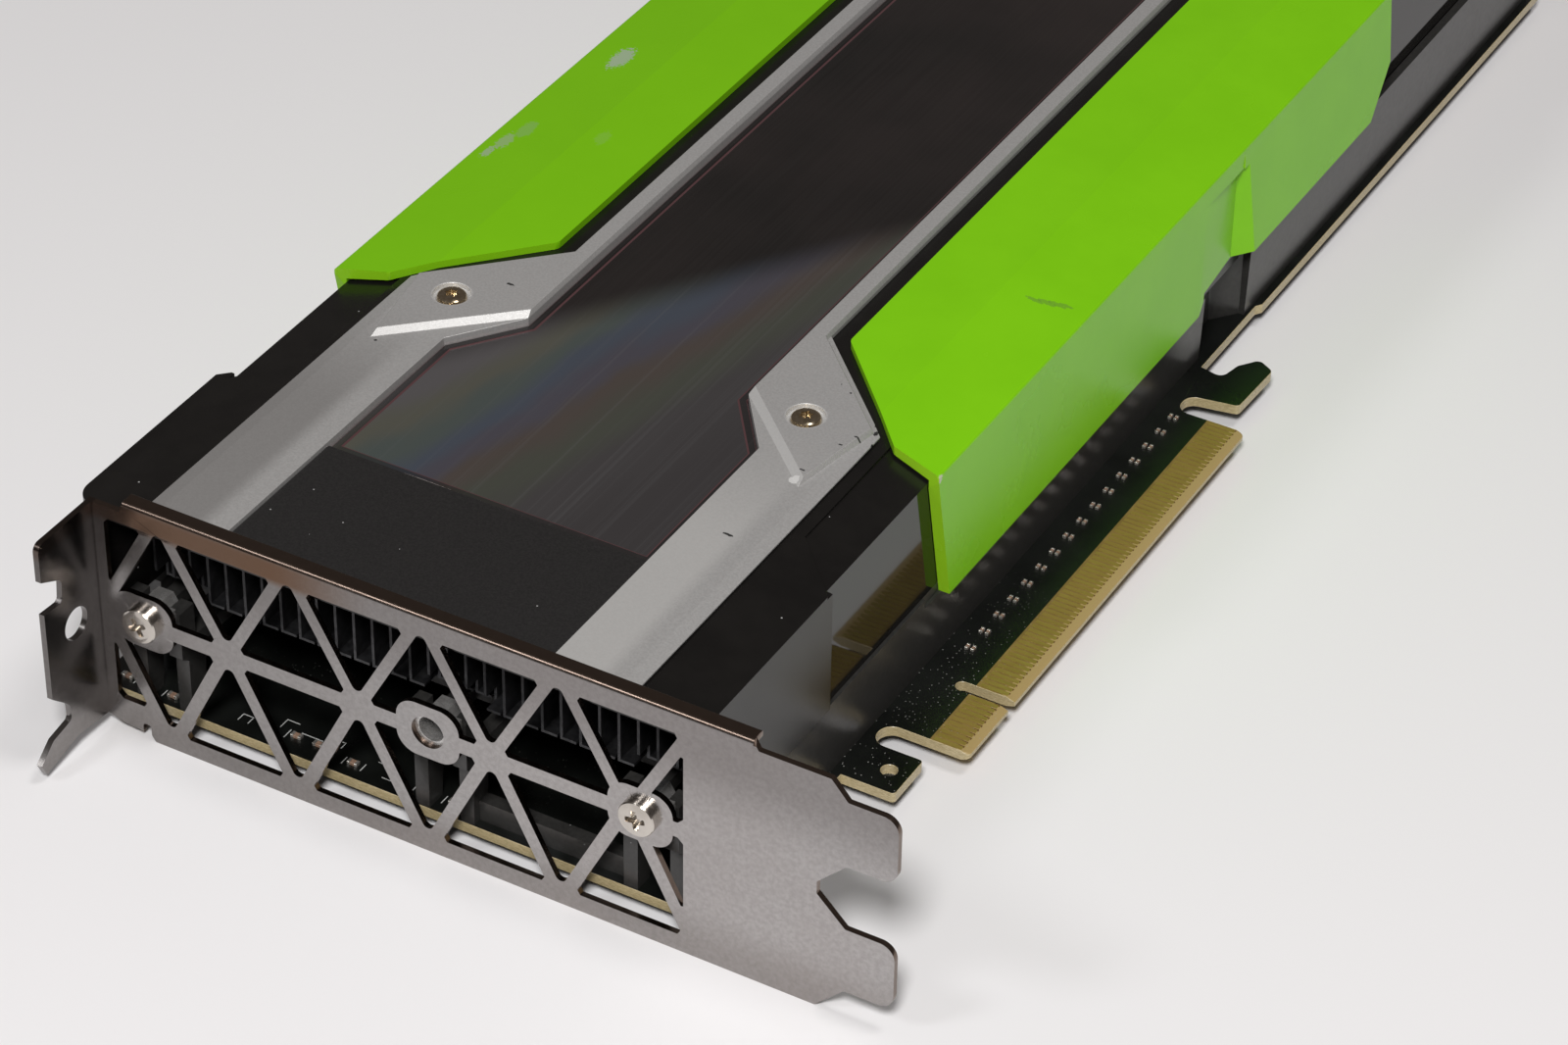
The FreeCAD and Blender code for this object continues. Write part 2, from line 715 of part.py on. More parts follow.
def frame_side():
    """Right-hand wall: front run, pocket turned inwards, rear run flush with the board."""
    top_x = COOLER_X + COOLER_HALF - 0.4
    front_run = frame_wall(top_x, SPLIT_Z, FRAME_WALL_FRONT_Y, POCKET_FRONT_Y)
    rebate = box(
        COVER_INNER_X - GAP, OVER_X, COVER_FRONT_Y - GAP, POCKET_FRONT_Y + 1, FRAME_REBATE_Z, SPLIT_Z + 1
    )
    front_run = front_run.cut(rebate)
    foot = COOLER_X + FRAME_FOOT_HALF
    deep = foot - POCKET_DEPTH
    pocket = plan(
        [
            (deep - FRAME_WALL_T, POCKET_FRONT_Y - 3, 0),
            (foot - 0.4, POCKET_FRONT_Y - 3, 0),
            (foot - 0.4, POCKET_FRONT_Y, 0),
            (deep, POCKET_FRONT_Y + 3, 0.8),
            (deep, POCKET_REAR_Y - 4, 0.8),
            (foot, POCKET_REAR_Y, 0),
            (foot, POCKET_REAR_Y + 3, 0),
            (deep - FRAME_WALL_T, POCKET_REAR_Y + 3, 0),
        ],
        0,
        FRAME_REBATE_Z,
    )
    inner = foot - FRAME_WALL_T
    outer = foot + REAR_WALL_OUT
    rear_run = section(
        [(inner, 0, 0), (outer, 0, 0), (outer + 0.4, COVER_STEP_Z - GAP, 0), (inner, COVER_STEP_Z - GAP, 0)],
        POCKET_REAR_Y,
        COOLER_REAR_Y,
    )
    waist_x = COOLER_X + COOLER_HALF - WAIST_DEPTH
    step = box(inner - 1, waist_x + GAP, POCKET_REAR_Y - 1, COOLER_REAR_Y + 1, SPLIT_Z, 20)
    return front_run.fuse(pocket).fuse(rear_run.cut(step))


def frame_plate():
    """Floor of the frame with its opening over the processor and the pedestal ring round it."""
    foot = FRAME_FOOT_HALF - 0.5
    low = SPLIT_Z - FRAME_PLATE_T
    outline_plate = [
        (COOLER_X - foot, FRAME_PLATE_FRONT_Y, FRAME_CORNER_R),
        (COOLER_X + foot, FRAME_PLATE_FRONT_Y, FRAME_CORNER_R),
        (COOLER_X + foot, COOLER_REAR_Y, 1.0),
        (COOLER_X - foot, COOLER_REAR_Y, 1.0),
    ]
    plate = plan(outline_plate, low, SPLIT_Z)
    ring_half = OPENING_HALF + RING_WALL
    left = COOLER_X - ring_half + 4
    right = COOLER_X + ring_half - 4
    front = OPENING_FRONT_Y - RING_WALL
    rear = OPENING_REAR_Y + RING_WALL
    ring = plan(rectangle(left, right, front, rear, 3.0), RING_LOW_Z, low)
    opening = box(
        COOLER_X - OPENING_HALF, COOLER_X + OPENING_HALF, OPENING_FRONT_Y, OPENING_REAR_Y, 0, SPLIT_Z + 1
    )
    return plate.fuse(ring).cut(opening)


def frame_legs():
    """Paired legs in front that carry the ears, and the low rail between two of them."""
    legs = []
    front = SHEET_T + EAR_T
    for x, z in pad_places():
        for offset in (-LEG_SPREAD, LEG_SPREAD):
            middle = x + offset
            corners = [
                (BOARD_FRONT_Y + 0.2, 0, 0),
                (BOARD_FRONT_Y + LEG_DEPTH, 0, 0),
                (BOARD_FRONT_Y + LEG_DEPTH + 1.0, SPLIT_Z - FRAME_PLATE_T, 0),
                (FRAME_PLATE_FRONT_Y + 1, SPLIT_Z - FRAME_PLATE_T, 0),
                (FRAME_PLATE_FRONT_Y + 1, SPLIT_Z, 0),
                (front + LEG_DEPTH, SPLIT_Z, 0),
                (front + LEG_DEPTH, LEG_TOP_Z, 0),
                (front, LEG_TOP_Z, 0),
                (front, EAR_LOW_Z - 2.5, 0),
                (BOARD_FRONT_Y + 0.2, EAR_LOW_Z - 3.5, 0),
            ]
            legs.append(side(corners, middle - LEG_W / 2.0, middle + LEG_W / 2.0))
    left = MID_PAD_X + LEG_SPREAD
    right = RIGHT_PAD_X - LEG_SPREAD
    legs.append(box(left, right, BOARD_FRONT_Y + RAIL_OFF, BOARD_FRONT_Y + RAIL_OFF + RAIL_T, 0, RAIL_H))
    return legs


def base_frame():
    right = frame_side()
    frame = frame_plate().fuse(right).fuse(mirrored(right))
    for leg in frame_legs():
        frame = frame.fuse(leg)
    for x, y in column_places():
        frame = frame.fuse(box(x - COLUMN_R, x + COLUMN_R, y - COLUMN_R, y + COLUMN_R, 0, SPLIT_Z - 1))
    for x, y in column_places():
        frame = frame.cut(drill(x, y, -1, SPLIT_Z - 2, SCREW_R))
    for x, z in pad_places():
        reach = BUSH_R + GAP
        frame = frame.cut(box(x - reach, x + reach, 0, SHEET_T + BUSH_LENGTH + GAP, z - reach, z + reach))
    socket_room = box(
        SOCKET_X - GAP, SOCKET_X + SOCKET_W + GAP,
        SOCKET_REAR_Y - SOCKET_DEPTH - GAP, COOLER_REAR_Y + 5, -1, SOCKET_H + GAP,
    )
    return frame.cut(socket_room).removeSplitter()


# Heat spreader and fins

def heat_spreader():
    """Flat vapour chamber with a foot on the processor."""
    body = plan(
        rectangle(
            COOLER_X - SPREADER_HALF, COOLER_X + SPREADER_HALF, SPREADER_FRONT_Y, SPREADER_REAR_Y, SPREADER_R
        ),
        SPLIT_Z,
        SPREADER_TOP_Z,
    )
    foot_half = OPENING_HALF - 1.0
    foot = box(
        COOLER_X - foot_half, COOLER_X + foot_half, OPENING_FRONT_Y + 1, OPENING_REAR_Y - 1,
        SUBSTRATE_T + DIE_T, SPLIT_Z,
    )
    return body.fuse(foot).removeSplitter()


def fin_stack():
    """Folded fins, each one sheet with a flange at its top and bottom."""
    fins = []
    blocks = []
    for x, z in pad_places():
        half = EAR_W / 2.0 + FIN_ROOM
        blocks.append(box(x - half, x + half, 0, FIN_ROOM_Y, SPREADER_TOP_Z - 1, EAR_TOP_Z + FIN_ROOM))
    room = Part.makeCompound(blocks)
    start = COOLER_X - FIN_PITCH * (FIN_COUNT - 1) / 2.0
    for i in range(FIN_COUNT):
        x = start + FIN_PITCH * i
        corners = [
            (x, SPREADER_TOP_Z, 0),
            (x + FIN_FLANGE, SPREADER_TOP_Z, 0),
            (x + FIN_FLANGE, SPREADER_TOP_Z + FIN_T, 0),
            (x + FIN_T, SPREADER_TOP_Z + FIN_T, 0),
            (x + FIN_T, FIN_TOP_Z - FIN_T, 0),
            (x + FIN_FLANGE, FIN_TOP_Z - FIN_T, 0),
            (x + FIN_FLANGE, FIN_TOP_Z, 0),
            (x, FIN_TOP_Z, 0),
        ]
        fins.append(section(corners, FIN_FRONT_Y, SPREADER_REAR_Y).cut(room))
    return Part.makeCompound(fins)


# Processor and memory

def processor_substrate():
    half = SUBSTRATE_SIZE / 2.0
    return box(COOLER_X - half, COOLER_X + half, PROCESSOR_Y - half, PROCESSOR_Y + half, 0, SUBSTRATE_T)


def processor_die():
    half = DIE_SIZE / 2.0
    return box(
        COOLER_X - half, COOLER_X + half, PROCESSOR_Y - half, PROCESSOR_Y + half,
        SUBSTRATE_T, SUBSTRATE_T + DIE_T,
    )


def memory_places():
    """Middles and half sizes of the memory packages round the processor."""
    places = []
    out = OPENING_HALF + MEMORY_OFF
    for i in range(4):
        y = PROCESSOR_Y + MEMORY_PITCH * (i - 1.5)
        places.append((COOLER_X - out, y, MEMORY_W / 2.0, MEMORY_L / 2.0))
        places.append((COOLER_X + out, y, MEMORY_W / 2.0, MEMORY_L / 2.0))
    for i in (-1.0, 1.0):
        x = COOLER_X + (MEMORY_L + 4.0) / 2.0 * i
        places.append((x, OPENING_FRONT_Y - MEMORY_END_OFF, MEMORY_L / 2.0, MEMORY_W / 2.0))
        places.append((x, OPENING_REAR_Y + MEMORY_END_OFF, MEMORY_L / 2.0, MEMORY_W / 2.0))
    return places


def memory_layer(low, high, inset):
    bodies = []
    for x, y, half_x, half_y in memory_places():
        hx = half_x - inset
        hy = half_y - inset
        bodies.append(box(x - hx, x + hx, y - hy, y + hy, low, high))
    return Part.makeCompound(bodies)


# Shroud, covers and trims

def roof_z(x):
    """Height of the shroud's roof on the right-hand side."""
    fold = COOLER_X + FOLD_HALF
    edge = COOLER_X + COOLER_HALF
    slope = (SHROUD_FLAT_Z - SHROUD_EDGE_Z) / (edge - fold)
    return SHROUD_FLAT_Z - max(0.0, x - fold) * slope


def shroud_section(grow, bottom):
    """Full width section of the shroud, shrunk or grown by one wall."""
    edge = COOLER_HALF + grow
    return [
        (COOLER_X - edge, bottom, 0),
        (COOLER_X + edge, bottom, 0),
        (COOLER_X + edge, SHROUD_EDGE_Z + grow, 0),
        (COOLER_X + FOLD_HALF, SHROUD_FLAT_Z + grow, 0),
        (COOLER_X - FOLD_HALF, SHROUD_FLAT_Z + grow, 0),
        (COOLER_X - edge, SHROUD_EDGE_Z + grow, 0),
    ]


def waist_waste():
    """Material taken off the right-hand side behind the front block: side wall and sunk roof field."""
    edge = COOLER_X + COOLER_HALF
    fold = COOLER_X + FOLD_HALF
    wall = box(edge - WAIST_DEPTH, edge + 1, WAIST_FRONT_Y, SHROUD_REAR_Y + 1, SPLIT_Z - 1, OVER_Z)
    above = [
        (fold, SHROUD_FLAT_Z - SUNK_DEPTH, 0),
        (edge + 1, roof_z(edge + 1) - SUNK_DEPTH, 0),
        (edge + 1, SHROUD_FLAT_Z + 1, 0),
        (fold, SHROUD_FLAT_Z + 1, 0),
    ]
    field = plan(
        [
            (SUNK_X, SUNK_Y, 0),
            (edge, WAIST_FRONT_Y - 1.4, 0),
            (edge + 1, WAIST_FRONT_Y - 1.4, 0),
            (edge + 1, SHROUD_REAR_Y + 1, 0),
            (SUNK_X, SHROUD_REAR_Y + 1, 0),
        ],
        SPLIT_Z,
        OVER_Z,
    )
    field = field.common(section(above, 0, SHROUD_REAR_Y + 2))
    return wall.fuse(field)


def left_block():
    """Wider left-hand front block with a slanted rear end."""
    edge = COOLER_X - COOLER_HALF
    out = edge - LEFT_BLOCK_OUT
    return plan(
        [
            (out, SHROUD_FRONT_Y, 0),
            (edge + 0.5, SHROUD_FRONT_Y, 0),
            (edge + 0.5, WAIST_FRONT_Y + 0.6, 0),
            (edge, WAIST_FRONT_Y + 0.6, 0),
            (out, WAIST_FRONT_Y - 0.9, 0),
        ],
        SPLIT_Z,
        SHROUD_EDGE_Z,
    )


def left_corner_waste():
    """What the rounding takes off the upright corner of the left-hand block."""
    out = COOLER_X - COOLER_HALF - LEFT_BLOCK_OUT
    far = LEFT_BLOCK_R + 1
    return plan(
        [
            (out - 1, SHROUD_FRONT_Y - 1, 0),
            (out + far, SHROUD_FRONT_Y - 1, 0),
            (out + far, SHROUD_FRONT_Y, 0),
            (out, SHROUD_FRONT_Y, LEFT_BLOCK_R),
            (out, SHROUD_FRONT_Y + far, 0),
            (out - 1, SHROUD_FRONT_Y + far, 0),
        ],
        SPLIT_Z - 1,
        SHROUD_FLAT_Z + 1,
    )


def bed():
    """Sunk bed in the roof that takes the plate, the window and the skirts of the trims."""
    wide = TRIM_INNER + TRIM_SKIRT
    narrow = STRIP_INNER + TRIM_SKIRT
    return plan(bed_outline(wide, narrow, SHROUD_FRONT_Y - 1, SHROUD_REAR_Y + 1, 0), BED_Z, OVER_Z)


def bed_outline(wide, narrow, front, rear, back_off):
    """Outline that is wide in front, narrows by two slants and runs on to the rear."""
    half = []
    half.append((wide, front))
    half.append((wide, SLANT_FRONT_Y - back_off))
    half.append((narrow, SLANT_REAR_Y - back_off))
    half.append((narrow, rear))
    points = [(COOLER_X + x, y, 0) for x, y in half]
    points += [(COOLER_X - x, y, 0) for x, y in reversed(half)]
    return points


def shroud():
    body = section(shroud_section(0, SPLIT_Z), SHROUD_FRONT_Y, SHROUD_REAR_Y)
    waste = waist_waste()
    body = body.cut(waste).cut(mirrored(waste))
    body = body.fuse(left_block()).cut(left_corner_waste())
    body = body.cut(bed())
    hollow_half = COOLER_HALF - WAIST_DEPTH - SHROUD_T
    inner_top = BED_Z - SHROUD_T + GAP
    hollow = [
        (COOLER_X - hollow_half, SPLIT_Z - 1, 0),
        (COOLER_X + hollow_half, SPLIT_Z - 1, 0),
        (COOLER_X + hollow_half, inner_top - HOLLOW_CHAMFER, 0),
        (COOLER_X + hollow_half - HOLLOW_CHAMFER, inner_top, 0),
        (COOLER_X - hollow_half + HOLLOW_CHAMFER, inner_top, 0),
        (COOLER_X - hollow_half, inner_top - HOLLOW_CHAMFER, 0),
    ]
    body = body.cut(section(hollow, SHROUD_FRONT_Y - 1, SHROUD_REAR_Y + 1))
    for x in (TRIM_SCREW_LEFT_X, TRIM_SCREW_RIGHT_X):
        body = body.cut(drill(x, TRIM_SCREW_Y, FIN_TOP_Z, TRIM_TOP_Z, SCREW_R + GAP))
    return body.removeSplitter()


def cover_outline():
    """Right-hand cover seen from above."""
    return [
        (OVER_X, COVER_FRONT_Y - 0.2, 0),
        (COVER_X - 0.2, COVER_FRONT_Y, 0),
        (COVER_KNEE_X, COVER_FRONT_Y + 1.9, 1.0),
        (COVER_INNER_EDGE_X, COVER_FRONT_Y + COVER_TAPER, 1.5),
        (COVER_INNER_EDGE_X, COVER_REAR_Y - COVER_REAR_TAPER, 1.5),
        (COVER_KNEE_X, COVER_REAR_Y - 1.5, 1.0),
        (COVER_X - 0.2, COVER_REAR_Y, 0),
        (OVER_X, COVER_REAR_Y, 0),
    ]


def cover_right():
    """Bent cover over the roof and the side, with its side scoop and the bulge behind it."""
    flat_top = SHROUD_FLAT_Z + COVER_T
    fold = COOLER_X + FOLD_HALF
    skin = [
        (0.0, SHROUD_FLAT_Z + SLIDE, 0),
        (fold, SHROUD_FLAT_Z + SLIDE, 0),
        (COVER_INNER_X, roof_z(COVER_INNER_X) + SLIDE, 0),
        (COVER_INNER_X, COVER_LOW_Z, 0),
        (COVER_X, COVER_LOW_Z, 0),
        (COVER_X, COVER_EDGE_Z, COVER_LIP_R),
        (fold, flat_top, 0),
        (0.0, flat_top, 0),
    ]
    cover = section(skin, COVER_FRONT_Y - 1, COVER_REAR_Y)
    bulge = section(
        [
            (COVER_X - 0.5, COVER_STEP_Z, 0),
            (COVER_X + BULGE_OUT, COVER_STEP_Z, 0),
            (COVER_X, COVER_EDGE_Z - 0.8, 0),
            (COVER_X - 0.5, COVER_EDGE_Z - 0.8, 0),
        ],
        SCOOP_REAR_Y,
        COVER_REAR_Y,
    )
    cover = cover.fuse(bulge)
    scoop = plan(
        [
            (COVER_X + 3, COVER_STEP_Y - 1.5, 0),
            (COVER_X, COVER_STEP_Y - 1.5, 0),
            (COVER_X - SCOOP_DEPTH, SCOOP_REAR_Y, 0),
            (COVER_X + BULGE_OUT + 0.1, BULGE_Y, 0),
            (COVER_X + 3, BULGE_Y, 0),
        ],
        COVER_LOW_Z - 1,
        COVER_EDGE_Z - SCOOP_TOP,
    )
    cover = cover.cut(scoop)
    low_step = box(0, OVER_X, COVER_STEP_Y, COVER_REAR_Y + 1, 0, COVER_STEP_Z)
    cover = cover.cut(low_step)
    low_cut = side(
        [(COVER_STEP_Y - 3.7, COVER_LOW_Z - 1, 0), (COVER_STEP_Y + 1, COVER_LOW_Z - 1, 0),
         (COVER_STEP_Y + 1, COVER_STEP_Z - 1, 0), (COVER_STEP_Y, COVER_STEP_Z - 1, 0),
         (COVER_STEP_Y, COVER_LOW_Z + 1.6, 0), (COVER_STEP_Y - 1.6, COVER_LOW_Z, 0)],
        0,
        OVER_X,
    )
    cover = cover.cut(low_cut)
    end_cut = side(
        [
            (COVER_REAR_Y - COVER_END_CUT, 0, 0),
            (COVER_REAR_Y + 1, 0, 0),
            (COVER_REAR_Y + 1, COVER_STEP_Z + COVER_END_CUT, 0),
            (COVER_REAR_Y, COVER_STEP_Z + COVER_END_CUT, 0),
            (COVER_REAR_Y - COVER_END_CUT, COVER_STEP_Z, 0),
        ],
        0,
        OVER_X,
    )
    cover = cover.cut(end_cut)
    front_cut = side(
        [(COVER_FRONT_Y - 3, COVER_EDGE_Z - 1.0, 0), (COVER_FRONT_Y, COVER_EDGE_Z - 1.0, 0),
         (COVER_FRONT_Y + COVER_SLANT, COVER_LOW_Z, -0.6), (COVER_FRONT_Y + COVER_SLANT, COVER_LOW_Z - 1, 0),
         (COVER_FRONT_Y - 3, COVER_LOW_Z - 1, 0)],
        0,
        OVER_X,
    )
    cover = cover.cut(front_cut)
    keep = plan(cover_outline(), 0, OVER_Z)
    return cover.common(keep).removeSplitter()


def trim_right():
    """Two-level trim: low bar in front, raised screw boss and narrow strip behind it."""
    bar = plan(
        [
            (COOLER_X + TRIM_INNER, TRIM_FRONT_Y, 0),
            (COOLER_X + TRIM_OUTER, TRIM_FRONT_Y, 0),
            (COOLER_X + TRIM_OUTER, SLANT_REAR_Y - 0.4, 0),
            (COOLER_X + STRIP_OUTER, SLANT_REAR_Y + TRIM_TAPER, 0),
            (COOLER_X + STRIP_OUTER, SLANT_REAR_Y + STRIP_START, 0),
            (COOLER_X + STRIP_INNER, SLANT_REAR_Y + STRIP_START, 0),
            (COOLER_X + STRIP_INNER, SLANT_REAR_Y - TRIM_SKIRT, 0),
            (COOLER_X + TRIM_INNER, SLANT_FRONT_Y - TRIM_SKIRT, 0),
        ],
        SHROUD_FLAT_Z,
        TRIM_LOW_Z,
    )
    below_roof = section(
        [
            (COOLER_X + FOLD_HALF, TRIM_LOW_Z, 0),
            (OVER_X, TRIM_LOW_Z, 0),
            (OVER_X, roof_z(OVER_X) + TRIM_LOW_Z - SHROUD_FLAT_Z, 0),
        ],
        0,
        TRIM_REAR_Y,
    )
    bar = bar.cut(below_roof)
    boss = trim_boss()
    skirt = plan(
        [
            (COOLER_X + TRIM_INNER, TRIM_FRONT_Y, 0),
            (COOLER_X + TRIM_INNER + TRIM_SKIRT - GAP, TRIM_FRONT_Y, 0),
            (COOLER_X + TRIM_INNER + TRIM_SKIRT - GAP, SLANT_FRONT_Y - GAP, 0),
            (COOLER_X + STRIP_INNER + TRIM_SKIRT - GAP, SLANT_REAR_Y - GAP, 0),
            (COOLER_X + STRIP_INNER + TRIM_SKIRT - GAP, TRIM_REAR_Y, 0),
            (COOLER_X + STRIP_INNER, TRIM_REAR_Y, 0),
            (COOLER_X + STRIP_INNER, SLANT_REAR_Y - TRIM_SKIRT, 0),
            (COOLER_X + TRIM_INNER, SLANT_FRONT_Y - TRIM_SKIRT, 0),
        ],
        BED_Z,
        TRIM_LOW_Z,
    )
    return bar.fuse(boss).fuse(skirt).removeSplitter()


def trim_boss():
    """Raised screw boss and strip, with one broad chamfer all round its top."""
    points = [
        (COOLER_X + TRIM_OUTER - 3.6, SLANT_REAR_Y - BOSS_BEFORE),
        (COOLER_X + TRIM_OUTER - 1.0, SLANT_REAR_Y - 0.4),
        (COOLER_X + STRIP_OUTER, SLANT_REAR_Y + TRIM_TAPER - 1.0),
        (COOLER_X + STRIP_OUTER, TRIM_REAR_Y),
        (COOLER_X + STRIP_INNER, TRIM_REAR_Y),
        (COOLER_X + STRIP_INNER, SLANT_REAR_Y - TRIM_SKIRT),
    ]
    foot = plan([(x, y, 0) for x, y in points], SHROUD_FLAT_Z, TRIM_LOW_Z)
    shrink = (TRIM_CHAMFER * 0.35, 0.3, 0.3, 0.3, 0.3, TRIM_CHAMFER)
    wires = []
    for height, share in ((TRIM_LOW_Z, 0.0), (TRIM_TOP_Z, 1.0)):
        ring = inset(points, [value * share for value in shrink])
        ring = [V(x, y, height) for x, y in ring]
        wires.append(Part.makePolygon(ring + [ring[0]]))
    return foot.fuse(Part.makeLoft(wires, True, True))


def inset(points, amounts):
    """Flat outline moved inwards; amounts[i] belongs to the edge from corner i to the next one."""
    count = len(points)
    moved = []
    for i in range(count):
        x, y = points[i]
        lines = []
        for start, end, amount in (
            (points[i - 1], points[i], amounts[i - 1]),
            (points[i], points[(i + 1) % count], amounts[i]),
        ):
            length = math.hypot(end[0] - start[0], end[1] - start[1])
            normal = (-(end[1] - start[1]) / length, (end[0] - start[0]) / length)
            lines.append((normal, normal[0] * x + normal[1] * y + amount))
        (a, first), (b, second) = lines
        area = a[0] * b[1] - a[1] * b[0]
        moved.append(((first * b[1] - second * a[1]) / area, (a[0] * second - b[0] * first) / area))
    return moved


def drilled(trim, x):
    """Trim with the sunk seat and hole of its screw."""
    trim = trim.cut(drill(x, TRIM_SCREW_Y, FIN_TOP_Z, TRIM_TOP_Z + 1, SCREW_R + GAP))
    return trim.cut(post(x, TRIM_SCREW_Y, TRIM_TOP_Z - TRIM_SINK_DEPTH, OVER_Z, TRIM_SINK_R))


def trim_screws():
    screws = []
    for x in (TRIM_SCREW_LEFT_X, TRIM_SCREW_RIGHT_X):
        seat = TRIM_TOP_Z - TRIM_SINK_DEPTH
        head = post(x, TRIM_SCREW_Y, seat, seat + TRIM_HEAD_T, TRIM_SCREW_R)
        screws.append(head.fuse(shank(x, TRIM_SCREW_Y, FIN_TOP_Z + 0.2, seat, SCREW_R)))
    return Part.makeCompound(screws)


def name_plate():
    half = TRIM_INNER - GAP
    return box(COOLER_X - half, COOLER_X + half, SHROUD_FRONT_Y, NAME_PLATE_REAR_Y, BED_Z, NAME_PLATE_Z)


def window_panel():
    corners = bed_outline(TRIM_INNER - GAP, STRIP_INNER - GAP, WINDOW_FRONT_Y, TRIM_REAR_Y, TRIM_SKIRT + GAP)
    return plan(corners, BED_Z, WINDOW_Z)


# Backplate and its screws

def backplate():
    top = BACKPLATE_LOW_Z + BACKPLATE_T
    sheet = plan(
        rectangle(
            COOLER_X - BACKPLATE_HALF, COOLER_X + BACKPLATE_HALF,
            BACKPLATE_FRONT_Y, BACKPLATE_REAR_Y, BACKPLATE_R
        ),
        BACKPLATE_LOW_Z,
        top,
    )
    for x, y in column_places():
        pad = box(x - COLUMN_R, x + COLUMN_R, y - COLUMN_R, y + COLUMN_R, top, -BOARD_T)
        sheet = sheet.fuse(pad)
    for x, y in column_places():
        sheet = sheet.cut(drill(x, y, BACKPLATE_LOW_Z - 1, 0, SCREW_R + GAP))
    return sheet


def backplate_screws():
    screws = []
    for x, y in column_places():
        head = post(x, y, BACKPLATE_LOW_Z - SCREW_HEAD_T, BACKPLATE_LOW_Z, SCREW_HEAD_R)
        screws.append(head.fuse(shank(x, y, BACKPLATE_LOW_Z, SCREW_REACH, SCREW_R)))
    return Part.makeCompound(screws)


# Power supply

def power_places():
    """Middles of the supply's phases, in two columns near the rear."""
    places = []
    for i in range(INDUCTOR_COUNT):
        x = COOLER_X + PHASE_SPREAD - PHASE_PITCH_X * (i % 4)
        places.append((x, PHASE_Y + PHASE_PITCH_Y * (i // 4)))
    return places


def power_inductors():
    half = INDUCTOR_SIZE / 2.0
    bodies = []
    for x, y in power_places():
        bodies.append(box(x - half, x + half, y - half, y + half, 0, INDUCTOR_H))
    return Part.makeCompound(bodies)


def power_stages():
    bodies = []
    for x, y in power_places():
        front = y + STAGE_OFF
        bodies.append(box(x - STAGE_HALF, x + STAGE_HALF, front, front + STAGE_DEPTH, 0, STAGE_H))
    return Part.makeCompound(bodies)


def socket_holes(radius, front, rear):
    """Square bars in the places of the eight contacts."""
    bars = []
    for row in range(2):
        for column in range(4):
            x = SOCKET_X + SOCKET_W / 2.0 + SOCKET_PITCH * (column - 1.5)
            z = SOCKET_H / 2.0 + SOCKET_PITCH * (row - 0.5)
            bars.append(box(x - radius, x + radius, front, rear, z - radius, z + radius))
    return bars


def power_socket():
    front = SOCKET_REAR_Y - SOCKET_DEPTH
    body = box(SOCKET_X, SOCKET_X + SOCKET_W, front, SOCKET_REAR_Y, 0, SOCKET_H)
    for bar in socket_holes(CAVITY_HALF, front + SOCKET_FLOOR, SOCKET_REAR_Y + 1):
        body = body.cut(bar)
    return body


def power_pins():
    front = SOCKET_REAR_Y - SOCKET_DEPTH + SOCKET_FLOOR
    return Part.makeCompound(socket_holes(PIN_HALF, front, SOCKET_REAR_Y - PIN_SHORT))


def main():
    os.makedirs("parts", exist_ok=True)
    right_cover = cover_right()
    right_trim = trim_right()
    save("circuit_board", circuit_board())
    save("edge_contacts_top", edge_contacts(0.0))
    save("edge_contacts_bottom", edge_contacts(-BOARD_T - FINGER_T))
    save("coupling_capacitors", coupling_capacitors())
    save("front_passives", front_passives())
    save("io_bracket", io_bracket())
    save("bracket_screws", bracket_screws())
    save("bracket_ears", bracket_ears())
    save("base_frame", base_frame())
    save("heat_spreader", heat_spreader())
    save("fin_stack", fin_stack())
    save("processor_substrate", processor_substrate())
    save("processor_die", processor_die())
    save("memory_chips", memory_layer(0, MEMORY_T, 0))
    save("thermal_pads", memory_layer(MEMORY_T, RING_LOW_Z, 0.5))
    save("shroud", shroud())
    save("cover_right", right_cover)
    save("cover_left", mirrored(right_cover))
    save("trim_right", drilled(right_trim, TRIM_SCREW_RIGHT_X))
    save("trim_left", drilled(mirrored(right_trim), TRIM_SCREW_LEFT_X))
    save("trim_screws", trim_screws())
    save("name_plate", name_plate())
    save("window_panel", window_panel())
    save("backplate", backplate())
    save("backplate_screws", backplate_screws())
    save("power_inductors", power_inductors())
    save("power_stages", power_stages())
    save("power_socket", power_socket())
    save("power_pins", power_pins())


main()
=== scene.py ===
import math

import bmesh
import bpy
from mathutils import Matrix, Vector


